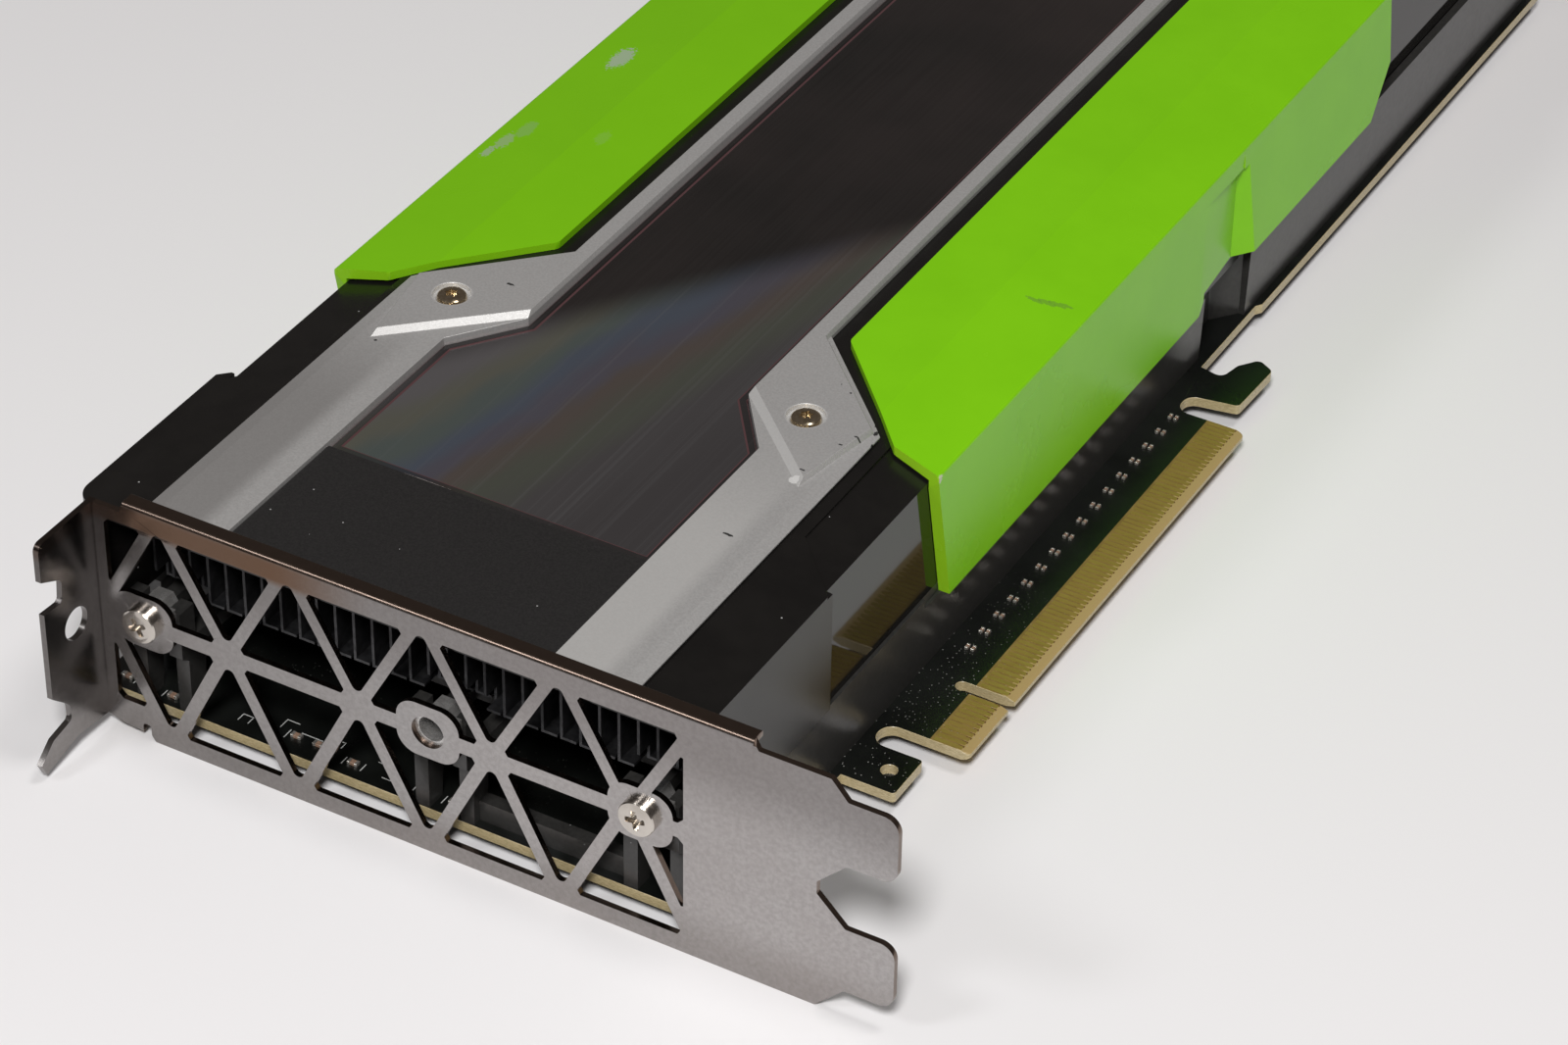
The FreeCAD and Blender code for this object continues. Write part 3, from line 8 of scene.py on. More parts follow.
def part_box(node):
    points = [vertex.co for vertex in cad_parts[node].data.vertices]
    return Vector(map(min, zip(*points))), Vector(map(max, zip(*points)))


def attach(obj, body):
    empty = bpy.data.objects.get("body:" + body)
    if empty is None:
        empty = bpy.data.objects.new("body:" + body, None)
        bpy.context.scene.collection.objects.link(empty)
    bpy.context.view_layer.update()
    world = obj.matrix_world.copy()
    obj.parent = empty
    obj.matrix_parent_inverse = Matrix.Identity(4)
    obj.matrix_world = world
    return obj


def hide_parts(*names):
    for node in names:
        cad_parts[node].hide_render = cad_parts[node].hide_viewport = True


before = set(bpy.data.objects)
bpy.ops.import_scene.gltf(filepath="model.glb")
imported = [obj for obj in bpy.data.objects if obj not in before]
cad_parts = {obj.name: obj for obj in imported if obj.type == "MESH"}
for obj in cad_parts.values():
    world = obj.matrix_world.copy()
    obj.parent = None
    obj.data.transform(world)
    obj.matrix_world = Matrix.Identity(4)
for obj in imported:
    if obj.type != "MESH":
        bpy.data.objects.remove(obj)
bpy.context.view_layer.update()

# Studio: a plain pale table in a dim, warm room, with three soft disk lamps: the main one over the
# camera, a weaker one from the left and one from above. The camera looks down at the bracket end
# from the connector side.
camera_data = bpy.data.cameras.new("camera")
camera_data.sensor_width = 36.0
camera_data.lens = 110.94
camera = bpy.data.objects.new("camera", camera_data)
camera.location = (0.26529, -0.51994, 0.41067)
camera.rotation_euler = (0.92668, -0.012835, 0.52079)
bpy.context.scene.collection.objects.link(camera)
bpy.context.scene.camera = camera
bpy.context.scene.view_settings.view_transform = "Standard"


def soft_lamp(name, place, size, watts, colour):
    """Round lamp that looks at the middle of the table."""
    lamp = bpy.data.lights.new(name, "AREA")
    lamp.shape = "DISK"
    lamp.size = size
    lamp.energy = watts
    lamp.color = colour
    holder = bpy.data.objects.new(name, lamp)
    holder.location = place
    direction = -Vector(place)
    holder.rotation_euler = direction.to_track_quat("-Z", "Y").to_euler()
    bpy.context.scene.collection.objects.link(holder)


warm_white = (1.0, 0.985, 0.97)
cool_white = (0.97, 0.98, 1.0)
soft_lamp("main_lamp", (0.35, -0.83, 0.95), size=0.25, watts=12.8, colour=warm_white)
soft_lamp("left_lamp", (-0.70, -1.08, 1.25), size=0.40, watts=4.0, colour=cool_white)
soft_lamp("upper_lamp", (0.50, 0.00, 1.50), size=0.40, watts=4.5, colour=warm_white)

room = bpy.data.worlds.new("room")
bpy.context.scene.world = room
room.use_nodes = True
room_light = room.node_tree.nodes["Background"]
room_light.inputs["Color"].default_value = (1.0, 0.90, 0.84, 1)
room_light.inputs["Strength"].default_value = 0.10

table_bm = bmesh.new()
bmesh.ops.create_grid(table_bm, x_segments=1, y_segments=1, size=2.5)
table_mesh = bpy.data.meshes.new("table_top")
table_bm.to_mesh(table_mesh)
table_bm.free()
table_top = bpy.data.objects.new("table_top", table_mesh)
bpy.context.scene.collection.objects.link(table_top)


def new_material(name, colour, roughness, metallic=0.0):
    """Material with one Principled shader; gives the material, its node tree and the shader."""
    material = bpy.data.materials.new(name)
    material.use_nodes = True
    shader = material.node_tree.nodes["Principled BSDF"]
    shader.inputs["Base Color"].default_value = (*colour, 1)
    shader.inputs["Roughness"].default_value = roughness
    shader.inputs["Metallic"].default_value = metallic
    return material, material.node_tree, shader


table_paint, _, _ = new_material("table_paint", (0.84, 0.835, 0.85), 0.6)
table_mesh.materials.append(table_paint)


# Circuit board: glass-epoxy sheet under near-black green solder mask, routed to its outline. The
# straw-coloured laminate shows on every cut edge, on the bevel and between the gold contacts.
board_low, board_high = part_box("circuit_board")
connector_edge = 38.5
board_front = 3.1


def spot(x, y, z):
    """Point of the card from its place in mm.

    x runs towards the connector's edge, y from the bracket's face, z from the board's upper face.
    """
    return Vector((
        board_high.x + (x - connector_edge) / 1000,
        board_low.y + (y - board_front) / 1000,
        board_high.z + z / 1000,
    ))


def group_socket(group, name, way, kind, value=None):
    socket = group.interface.new_socket(name=name, in_out=way, socket_type=kind)
    if value is not None:
        socket.default_value = value
    return socket


def math_node(group, operation, first, second=None, clamp=False):
    """Math node fed by sockets or numbers; gives its output."""
    node = group.nodes.new("ShaderNodeMath")
    node.operation = operation
    node.use_clamp = clamp
    for index, value in ((0, first), (1, second)):
        if value is None:
            continue
        if isinstance(value, (int, float)):
            node.inputs[index].default_value = value
        else:
            group.links.new(value, node.inputs[index])
    return node.outputs[0]


def ramp_node(group, value, from_low, from_high, to_low=0.0, to_high=1.0):
    """Smooth, clamped change from one pair of values to another; sockets or numbers."""
    node = group.nodes.new("ShaderNodeMapRange")
    node.interpolation_type = "SMOOTHSTEP"
    for name, entry in (
        ("Value", value), ("From Min", from_low), ("From Max", from_high),
        ("To Min", to_low), ("To Max", to_high),
    ):
        if isinstance(entry, (int, float)):
            node.inputs[name].default_value = entry
        else:
            group.links.new(entry, node.inputs[name])
    return node.outputs["Result"]


def grain_group():
    """Cloudy or streaky noise on object coordinates, spread between two values."""
    group = bpy.data.node_groups.new("grain", "ShaderNodeTree")
    group_socket(group, "Scale", "INPUT", "NodeSocketFloat", 500.0)
    group_socket(group, "Stretch", "INPUT", "NodeSocketVector", (1.0, 1.0, 1.0))
    group_socket(group, "Low", "INPUT", "NodeSocketFloat", 0.0)
    group_socket(group, "High", "INPUT", "NodeSocketFloat", 1.0)
    group_socket(group, "Value", "OUTPUT", "NodeSocketFloat")
    entry = group.nodes.new("NodeGroupInput")
    leave = group.nodes.new("NodeGroupOutput")
    place = group.nodes.new("ShaderNodeTexCoord")
    turn = group.nodes.new("ShaderNodeMapping")
    noise = group.nodes.new("ShaderNodeTexNoise")
    noise.inputs["Detail"].default_value = 4.0
    noise.inputs["Roughness"].default_value = 0.6
    group.links.new(place.outputs["Object"], turn.inputs["Vector"])
    group.links.new(entry.outputs["Stretch"], turn.inputs["Scale"])
    group.links.new(turn.outputs["Vector"], noise.inputs["Vector"])
    group.links.new(entry.outputs["Scale"], noise.inputs["Scale"])
    result = ramp_node(group, noise.outputs["Fac"], 0.3, 0.7, entry.outputs["Low"], entry.outputs["High"])
    group.links.new(result, leave.inputs["Value"])
    return group


def band_group():
    """Mask between two distances along an axis, with soft ends."""
    group = bpy.data.node_groups.new("band", "ShaderNodeTree")
    group_socket(group, "Axis", "INPUT", "NodeSocketVector", (1.0, 0.0, 0.0))
    group_socket(group, "Low", "INPUT", "NodeSocketFloat", 0.0)
    group_socket(group, "High", "INPUT", "NodeSocketFloat", 1.0)
    group_socket(group, "Soft", "INPUT", "NodeSocketFloat", 0.0001)
    group_socket(group, "Mask", "OUTPUT", "NodeSocketFloat")
    entry = group.nodes.new("NodeGroupInput")
    leave = group.nodes.new("NodeGroupOutput")
    place = group.nodes.new("ShaderNodeTexCoord")
    along = group.nodes.new("ShaderNodeVectorMath")
    along.operation = "DOT_PRODUCT"
    group.links.new(place.outputs["Object"], along.inputs[0])
    group.links.new(entry.outputs["Axis"], along.inputs[1])
    start = math_node(group, "SUBTRACT", entry.outputs["Low"], entry.outputs["Soft"])
    end = math_node(group, "ADD", entry.outputs["High"], entry.outputs["Soft"])
    rise = ramp_node(group, along.outputs["Value"], start, entry.outputs["Low"])
    fall = ramp_node(group, along.outputs["Value"], entry.outputs["High"], end, 1.0, 0.0)
    group.links.new(math_node(group, "MULTIPLY", rise, fall), leave.inputs["Mask"])
    return group


def facing_group():
    """Mask of faces that look along an axis, either way; Low and High are cosines."""
    group = bpy.data.node_groups.new("facing", "ShaderNodeTree")
    group_socket(group, "Axis", "INPUT", "NodeSocketVector", (0.0, 0.0, 1.0))
    group_socket(group, "Low", "INPUT", "NodeSocketFloat", 0.80)
    group_socket(group, "High", "INPUT", "NodeSocketFloat", 0.92)
    group_socket(group, "Mask", "OUTPUT", "NodeSocketFloat")
    entry = group.nodes.new("NodeGroupInput")
    leave = group.nodes.new("NodeGroupOutput")
    shape = group.nodes.new("ShaderNodeNewGeometry")
    along = group.nodes.new("ShaderNodeVectorMath")
    along.operation = "DOT_PRODUCT"
    group.links.new(shape.outputs["True Normal"], along.inputs[0])
    group.links.new(entry.outputs["Axis"], along.inputs[1])
    size = math_node(group, "ABSOLUTE", along.outputs["Value"])
    group.links.new(ramp_node(group, size, entry.outputs["Low"], entry.outputs["High"]), leave.inputs["Mask"])
    return group


def speck_group():
    """Scattered small round specks, such as dust."""
    group = bpy.data.node_groups.new("specks", "ShaderNodeTree")
    group_socket(group, "Scale", "INPUT", "NodeSocketFloat", 500.0)
    group_socket(group, "Size", "INPUT", "NodeSocketFloat", 0.12)
    group_socket(group, "Rare", "INPUT", "NodeSocketFloat", 0.7)
    group_socket(group, "Mask", "OUTPUT", "NodeSocketFloat")
    entry = group.nodes.new("NodeGroupInput")
    leave = group.nodes.new("NodeGroupOutput")
    place = group.nodes.new("ShaderNodeTexCoord")
    cells = group.nodes.new("ShaderNodeTexVoronoi")
    chance = group.nodes.new("ShaderNodeSeparateColor")
    group.links.new(place.outputs["Object"], cells.inputs["Vector"])
    group.links.new(entry.outputs["Scale"], cells.inputs["Scale"])
    group.links.new(cells.outputs["Color"], chance.inputs["Color"])
    small = math_node(group, "LESS_THAN", cells.outputs["Distance"], entry.outputs["Size"])
    few = math_node(group, "GREATER_THAN", chance.outputs["Red"], entry.outputs["Rare"])
    group.links.new(math_node(group, "MULTIPLY", small, few), leave.inputs["Mask"])
    return group


grain = grain_group()
band = band_group()
facing = facing_group()
specks = speck_group()


def use_group(tree, group, **values):
    """Places a group in a material; gives its one output."""
    node = tree.nodes.new("ShaderNodeGroup")
    node.node_tree = group
    for name, value in values.items():
        node.inputs[name].default_value = value
    return node.outputs[0]


def blend_colour(tree, factor, first, second):
    """Mix of two colours or sockets by a factor socket; gives the output socket."""
    mix = tree.nodes.new("ShaderNodeMix")
    mix.data_type = "RGBA"
    tree.links.new(factor, mix.inputs[0])
    for index, value in ((6, first), (7, second)):
        if isinstance(value, tuple):
            mix.inputs[index].default_value = (*value, 1)
        else:
            tree.links.new(value, mix.inputs[index])
    return mix.outputs[2]


def product(tree, first, *others):
    """Product of masks and numbers."""
    for other in others:
        first = math_node(tree, "MULTIPLY", first, other)
    return first


def toned(tree, colour, mask, share, tone):
    """Colour taken a share of the way to a tone where a mask is."""
    return blend_colour(tree, product(tree, mask, share), colour, tone)


def between(tree, axis, low, high, soft):
    """Mask between two places along axis "x", "y" or "z", in mm; its ends fade over soft metres."""
    index = "xyz".index(axis)
    direction = [0.0, 0.0, 0.0]
    direction[index] = 1.0
    low_end = spot(*(low * part for part in direction))[index]
    high_end = spot(*(high * part for part in direction))[index]
    return use_group(tree, band, Axis=direction, Low=low_end, High=high_end, Soft=soft)


def textured(name, dark, light, roughness, scale, metallic=0.0, stretch=(1, 1, 1), bump=0.0, spread=0.08):
    """Material whose colour, roughness and relief follow one grain.

    Gives the material, its node tree, its shader, and its colour and roughness sockets.
    """
    material, tree, shader = new_material(name, dark, roughness, metallic)
    pattern = use_group(tree, grain, Scale=scale, Stretch=stretch)
    colour = blend_colour(tree, pattern, dark, light)
    tree.links.new(colour, shader.inputs["Base Color"])
    gloss = use_group(
        tree, grain, Scale=scale * 0.6, Stretch=stretch, Low=roughness - spread, High=roughness + spread
    )
    tree.links.new(gloss, shader.inputs["Roughness"])
    if bump:
        relief = tree.nodes.new("ShaderNodeBump")
        relief.inputs["Distance"].default_value = bump
        relief.inputs["Strength"].default_value = 0.5
        tree.links.new(pattern, relief.inputs["Height"])
        tree.links.new(relief.outputs["Normal"], shader.inputs["Normal"])
    return material, tree, shader, colour, gloss


def dressed(node, width, segments=2, angle=30.0, upright=None):
    """New mesh with the node's own form and its edges over an angle in degrees rounded.

    Upright holds an axis, a width and a length: short corners along the axis are rounded first.
    """
    copy = bmesh.new()
    copy.from_mesh(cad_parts[node].data)
    bmesh.ops.remove_doubles(copy, verts=copy.verts[:], dist=1e-6)
    bmesh.ops.dissolve_limit(
        copy, angle_limit=math.radians(0.5), verts=copy.verts[:], edges=copy.edges[:], delimit={"NORMAL"}
    )
    if upright:
        axis, offset, longest = upright
        corner_angle = math.radians(24)
        corners = []
        for edge in copy.edges:
            run = edge.verts[1].co - edge.verts[0].co
            if len(edge.link_faces) != 2 or run.length > longest:
                continue
            if abs(run.normalized().dot(axis)) > 0.999 and edge.calc_face_angle() > corner_angle:
                corners.append(edge)
        bmesh.ops.bevel(
            copy, geom=corners, offset=offset, offset_type="OFFSET", affect="EDGES", segments=3,
            profile=0.5, material=-1, clamp_overlap=True,
        )
    inner = [edge for edge in copy.edges if len(edge.link_faces) == 2]
    sharp = [edge for edge in inner if edge.calc_face_angle() > math.radians(angle)]
    bmesh.ops.bevel(
        copy, geom=sharp, offset=width, offset_type="OFFSET", affect="EDGES", segments=segments,
        profile=0.5, material=-1, clamp_overlap=True,
    )
    return copy


def finished(name, mesh_in, node, material, sharp=28):
    """Turns a bmesh into a piece of the card that stands for a node, or for none.

    It is shaded smooth, apart from edges over the sharp angle in degrees.
    """
    bmesh.ops.triangulate(mesh_in, faces=[f for f in mesh_in.faces if len(f.verts) > 4])
    mesh = bpy.data.meshes.new(name)
    mesh_in.to_mesh(mesh)
    mesh_in.free()
    for polygon in mesh.polygons:
        polygon.use_smooth = True
    mesh.set_sharp_from_angle(angle=math.radians(sharp))
    mesh.materials.append(material)
    piece = bpy.data.objects.new(name, mesh)
    bpy.context.scene.collection.objects.link(piece)
    even = piece.modifiers.new("even_faces", "WEIGHTED_NORMAL")
    even.keep_sharp = True
    even.weight = 100
    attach(piece, "root")
    if node:
        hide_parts(node)
    return piece


def recoat(material, *nodes):
    """Gives nodes whose form stays a better material."""
    for node in nodes:
        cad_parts[node].data.materials.clear()
        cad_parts[node].data.materials.append(material)


board_mask, tree, shader, colour, _ = textured(
    "board_mask", (0.0035, 0.0040, 0.0036), (0.0075, 0.0085, 0.0075),
    roughness=0.33, scale=90.0, bump=0.000002,
)
green_side = between(tree, "x", 35, 40, 0.007)
green_end = between(tree, "y", 125, 300, 0.090)
colour = blend_colour(tree, product(tree, green_side, green_end), colour, (0.006, 0.0115, 0.0065))
plies = use_group(tree, grain, Scale=9000.0, Stretch=(0.2, 0.2, 1.0))
laminate = blend_colour(tree, plies, (0.36, 0.29, 0.15), (0.56, 0.47, 0.28))
bare_zone = between(tree, "x", 32.6, 40, 0.00008)
tabs = between(tree, "y", 48.0, 133.5, 0.0001)
bare = product(tree, bare_zone, tabs)
straw = blend_colour(tree, use_group(tree, grain, Scale=400.0), (0.19, 0.125, 0.036), (0.26, 0.175, 0.055))
margin = between(tree, "x", 36.7, 40, 0.0004)
straw = blend_colour(tree, margin, straw, (0.40, 0.29, 0.12))
colour = blend_colour(tree, bare, colour, straw)
contact_pitch = 0.001
first_gap = spot(0, 62.12, 0).y
comb = tree.nodes.new("ShaderNodeTexWave")
comb.wave_type = "BANDS"
comb.bands_direction = "Y"
comb.inputs["Scale"].default_value = 2.0 * math.pi / (20.0 * contact_pitch)
comb_place = tree.nodes.new("ShaderNodeTexCoord")
comb_shift = tree.nodes.new("ShaderNodeMapping")
comb_shift.inputs["Location"].default_value = (0.0, -first_gap, 0.0)
tree.links.new(comb_place.outputs["Object"], comb_shift.inputs["Vector"])
tree.links.new(comb_shift.outputs["Vector"], comb.inputs["Vector"])
tooth = ramp_node(tree, comb.outputs["Fac"], 0.55, 0.8)
tip = between(tree, "x", 36.5, 37.25, 0.00012)
tick = product(tree, tooth, tip, tabs)
colour = blend_colour(tree, tick, colour, (0.09, 0.030, 0.012))
dust = use_group(tree, specks, Scale=2100.0, Size=0.17, Rare=0.62)
patchy = use_group(tree, grain, Scale=60.0, Low=0.2, High=0.9)
settled = between(tree, "y", 36, 62, 0.030)
colour = blend_colour(tree, product(tree, dust, patchy, settled), colour, (0.40, 0.40, 0.38))
flat = use_group(tree, facing, Axis=(0.0, 0.0, 1.0))
colour = blend_colour(tree, flat, laminate, colour)
tree.links.new(colour, shader.inputs["Base Color"])
finished("board_sheet", dressed("circuit_board", 0.00005, segments=1), "circuit_board", board_mask)

# Edge contacts: 82 gold-flashed copper strips on each face of the connector tabs, and the same
# gold on the pins of the power socket. Plated on, so they stand a few hundredths proud.
gold, tree, shader, colour, _ = textured(
    "contact_gold", (0.28, 0.215, 0.040), (0.36, 0.28, 0.060),
    roughness=0.46, scale=900.0, metallic=0.35, stretch=(0.25, 1, 1), bump=0.000003,
)
smear = use_group(tree, grain, Scale=70.0)
colour = blend_colour(tree, smear, colour, (0.33, 0.225, 0.055))
tree.links.new(colour, shader.inputs["Base Color"])
recoat(gold, "edge_contacts_top", "edge_contacts_bottom", "power_pins")

# Coupling capacitors: sixteen pairs of tiny layered ceramic blocks with tinned ends, soldered in a
# row behind the contacts. The small parts along the board's front edge are made the same way.
tin = textured(
    "tinned_end", (0.50, 0.47, 0.42), (0.74, 0.71, 0.66),
    roughness=0.32, scale=3000.0, metallic=0.8, bump=0.00001,
)[0]
body_brown = textured(
    "ceramic_body", (0.20, 0.12, 0.08), (0.33, 0.22, 0.16),
    roughness=0.4, scale=4000.0, bump=0.00001,
)[0]


def chip_part(tins, bodies, centre, size, along):
    """Block with two end caps; size is width, length and height in mm, along the long axis 0 or 1."""
    width, length, height = size
    end_share = 0.28
    body_share = 0.48
    body_inset = 0.92
    for offset, share, mesh, grow in (
        (-0.5, end_share, tins, 1.0), (0.5, end_share, tins, 1.0), (0.0, body_share, bodies, body_inset)
    ):
        shift = Vector((0, 0, 0))
        shift[along] = offset * (1.0 - share) * length / 1000
        scale = [width * grow / 1000, width * grow / 1000, height * grow / 1000]
        scale[along] = length * share / 1000
        place = Matrix.Translation(centre + shift + Vector((0, 0, height * grow / 2000)))
        made = bmesh.ops.create_cube(mesh, size=1.0, matrix=place @ Matrix.Diagonal((*scale, 1)))
        edges = list({e for v in made["verts"] for e in v.link_edges})
        bmesh.ops.bevel(
            mesh, geom=edges, offset=0.00005, offset_type="OFFSET", affect="EDGES", segments=1,
            profile=0.5, material=-1, clamp_overlap=True,
        )


tins = bmesh.new()
bodies = bmesh.new()
pair_count = 16
half_width = 0.00027
half_length = 0.0005
capacitor_low, capacitor_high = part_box("coupling_capacitors")
row_step = (capacitor_high.y - capacitor_low.y - 2 * half_length) / (pair_count - 1)
for pair in range(pair_count):
    for column in (capacitor_low.x + half_width, capacitor_high.x - half_width):
        centre = Vector((column, capacitor_low.y + half_length + row_step * pair, board_high.z))
        chip_part(tins, bodies, centre, size=(0.52, 1.0, 0.46), along=1)
finished("capacitor_ends", tins, "coupling_capacitors", tin)
finished("capacitor_bodies", bodies, "coupling_capacitors", body_brown)

tins = bmesh.new()
bodies = bmesh.new()
for x, y in ((-66.0, 5.4), (-58.4, 5.0), (-39.5, 6.4), (-36.0, 6.4), (-30.0, 5.6), (-14.2, 5.6)):
    chip_part(tins, bodies, spot(x, y, 0), size=(0.88, 1.58, 0.52), along=0)
finished("front_part_ends", tins, "front_passives", tin)
finished("front_part_bodies", bodies, "front_passives", body_brown)

# Printed outlines: plain white ink strokes, screen-printed on the mask round the small parts at the
# board's front, without any lettering.
ink = textured(
    "white_ink", (0.45, 0.46, 0.45), (0.62, 0.63, 0.62),
    roughness=0.55, scale=5000.0, bump=0.000004,
)[0]
ink_height = 0.012
strokes = bmesh.new()
for x, y, along_x, along_y in (
    (-67.3, 5.4, 0.14, 1.6), (-64.7, 5.4, 0.14, 1.6), (-41.0, 6.4, 0.14, 1.8), (-34.4, 6.4, 0.14, 1.8),
    (-37.7, 7.4, 3.4, 0.14), (-31.5, 5.6, 0.14, 1.5), (-28.5, 5.6, 0.14, 1.5), (-24.0, 5.2, 2.6, 0.14),
    (-15.8, 5.6, 0.14, 1.6), (-12.6, 5.6, 0.14, 1.6), (2.0, 5.6, 0.14, 1.4), (-59.9, 5.0, 0.14, 1.4),
    (-41.6, 8.8, 2.0, 0.14), (-42.6, 7.9, 0.14, 1.8), (-33.6, 8.6, 0.9, 0.14), (-33.2, 8.0, 0.14, 1.2),
    (-47.5, 6.8, 1.6, 0.14), (-48.3, 6.1, 0.14, 1.4), (-46.7, 6.1, 0.14, 1.4), (-26.8, 7.6, 1.2, 0.14),
    (-20.4, 6.0, 0.14, 1.8), (-19.0, 6.9, 1.4, 0.14), (-8.2, 5.8, 0.14, 1.5), (-6.9, 6.6, 1.3, 0.14),
):
    size = Matrix.Diagonal((along_x / 1000, along_y / 1000, ink_height / 1000, 1))
    bmesh.ops.create_cube(strokes, size=1.0, matrix=Matrix.Translation(spot(x, y, ink_height)) @ size)
finished("board_strokes", strokes, None, ink)

# Bracket: one folded steel sheet with truss-shaped vents, a fastening tab and two slot tongues,
# finished in smoky nickel. Screwed to the ears behind it through its two round bosses. Its colour
# carries painted shade: darker at the top, at the bottom and towards the left end, a brown band of
# painted shade and warm reflection under the fold, a dark upper tab and dark cut edges.
smoky, tree, shader, colour, _ = textured(
    "smoky_nickel", (0.36, 0.345, 0.34), (0.44, 0.425, 0.418),
    roughness=0.24, scale=1400.0, metallic=1.0, spread=0.03,
)
cloud = use_group(tree, grain, Scale=45.0)
colour = toned(tree, colour, cloud, 0.22, (0.34, 0.30, 0.285))
# Painted shade: darker towards the top, under the fold.
painted_top_shade = between(tree, "z", 30, 40, 0.012)
colour = toned(tree, colour, painted_top_shade, 0.45, (0.10, 0.085, 0.08))
# Painted shade and warm reflection: a brown band just under the fold on the left part.
painted_fold_shade = between(tree, "z", 31.6, 33.6, 0.0016)
left_part = between(tree, "x", -57, -38, 0.018)
colour = toned(tree, colour, product(tree, painted_fold_shade, left_part), 0.88, (0.15, 0.060, 0.014))
face = use_group(tree, facing, Axis=(0.0, 1.0, 0.0))
tab = between(tree, "x", -70, -65.2, 0.0001)
# Painted shade: darker towards the bottom.
painted_low_shade = between(tree, "z", -10, -2, 0.008)
colour = toned(tree, colour, painted_low_shade, 0.3, (0.13, 0.10, 0.08))
# Painted shade: faces that look neither to the front nor to the back, apart from the tab, get the dark brown
# below, on the cut edges and the fold's top.
plain = math_node(tree, "MAXIMUM", face, tab)
# Painted shade: darker towards the left end.
painted_end_shade = between(tree, "x", -90, -52, 0.060)
colour = toned(tree, colour, painted_end_shade, 0.35, (0.10, 0.095, 0.09))
# Painted shade: the tab's upper part is darkened.
painted_tab_shade = between(tree, "z", 6, 60, 0.005)
colour = toned(tree, colour, product(tree, tab, painted_tab_shade), 0.42, (0.03, 0.022, 0.018))
colour = blend_colour(tree, plain, (0.18, 0.135, 0.11), colour)
tree.links.new(colour, shader.inputs["Base Color"])
vent_corners = (Vector((0, 1, 0)), 0.00035, 0.0009)
bracket_form = dressed("io_bracket", 0.00010, upright=vent_corners)
finished("bracket_sheet", bracket_form, "io_bracket", smoky)

# Bracket screws and ears: pan-head screws with a cross recess, bright nickel plated, driven into
# the bushes of three plated ears that stand on the base frame. The middle bush is left open.
bright = textured(
    "bright_nickel", (0.52, 0.48, 0.43), (0.62, 0.58, 0.53),
    roughness=0.22, scale=260.0, metallic=1.0, bump=0.000003,
)[0]


def cross_reach(angle):
    """Radius of a cross-shaped recess, as a share of its longest arm."""
    half_arm = 0.30
    tip_angle = 0.29
    nearest = abs((angle + math.pi / 4) % (math.pi / 2) - math.pi / 4)
    return min(1.0, half_arm / math.sin(nearest)) if nearest > tip_angle else 1.0


def star_reach(angle):
    """Radius of a six-lobed recess, as a share of its longest lobe."""
    wave = 0.14
    return 1.0 - wave + wave * math.cos(6 * angle)


def screw_head(mesh, matrix, radius, height, crown, recess, reach, shank, length):
    """Turned head with a pressed recess and its shank; matrix sets it on its seat, axis +Z outwards."""
    ring = bmesh.ops.create_circle(mesh, cap_ends=True, radius=shank, segments=48)["verts"]
    bmesh.ops.translate(mesh, verts=ring, vec=(0, 0, -length))
    made = set(ring)
    edges = list({e for v in ring for e in v.link_edges})
    shoulder = 0.35 * radius
    recess_taper = 0.96
    recess_depth = 0.55 * recess
    rings = [(shank, 0.0), (radius, 0.0), (radius, height - crown)]
    for step in (0.35, 0.7, 1.0):
        turn = step * math.pi / 2
        rings.append((radius - shoulder * (1 - math.cos(turn)), height - crown + crown * math.sin(turn)))
    rings.append((recess, height))
    rings.append((recess * recess_taper, height - recess_depth))
    for index, (size, z) in enumerate(rings):
        grown = bmesh.ops.extrude_edge_only(mesh, edges=edges)["geom"]
        verts = [g for g in grown if isinstance(g, bmesh.types.BMVert)]
        edges = [g for g in grown if isinstance(g, bmesh.types.BMEdge)]
        for vert in verts:
            angle = math.atan2(vert.co.y, vert.co.x)
            share = reach(angle) if index >= len(rings) - 2 else 1.0
            vert.co = Vector((math.cos(angle) * size * share, math.sin(angle) * size * share, z))
        made.update(verts)
    bmesh.ops.contextual_create(mesh, geom=edges)
    bmesh.ops.transform(mesh, matrix=matrix, verts=list(made))


screws = bmesh.new()
for x, twist in ((-58.5, 0.5), (17.4, 0.15)):
    seat = Matrix.Translation(spot(x, 0.0, 15.9)) @ Matrix.Rotation(math.radians(90), 4, "X")
    screw_head(
        screws, seat @ Matrix.Rotation(twist, 4, "Z"), radius=0.00265, height=0.00133, crown=0.00035,
        recess=0.00145, reach=cross_reach, shank=0.00135, length=0.0058,
    )
bmesh.ops.recalc_face_normals(screws, faces=screws.faces[:])
finished("bracket_screw_pair", screws, "bracket_screws", bright)
ear_steel = textured(
    "ear_steel", (0.46, 0.45, 0.44), (0.62, 0.61, 0.60),
    roughness=0.26, scale=1200.0, metallic=0.75, bump=0.000003,
)[0]
finished("ear_plates", dressed("bracket_ears", 0.00018), "bracket_ears", ear_steel)

# Base frame: one aluminium casting in black satin, standing on the board round the parts. Its side
# walls carry the shroud, its legs the ears, and screws from below hold it through the board.
casting, tree, shader, colour, _ = textured(
    "black_casting", (0.024, 0.0235, 0.0225), (0.034, 0.033, 0.0315),
    roughness=0.30, scale=1500.0, bump=0.0000012, spread=0.02,
)
dust = use_group(tree, specks, Scale=900.0, Size=0.10, Rare=0.9)
tree.links.new(blend_colour(tree, dust, colour, (0.20, 0.20, 0.20)), shader.inputs["Base Color"])
finished("frame_casting", dressed("base_frame", 0.0003), "base_frame", casting)
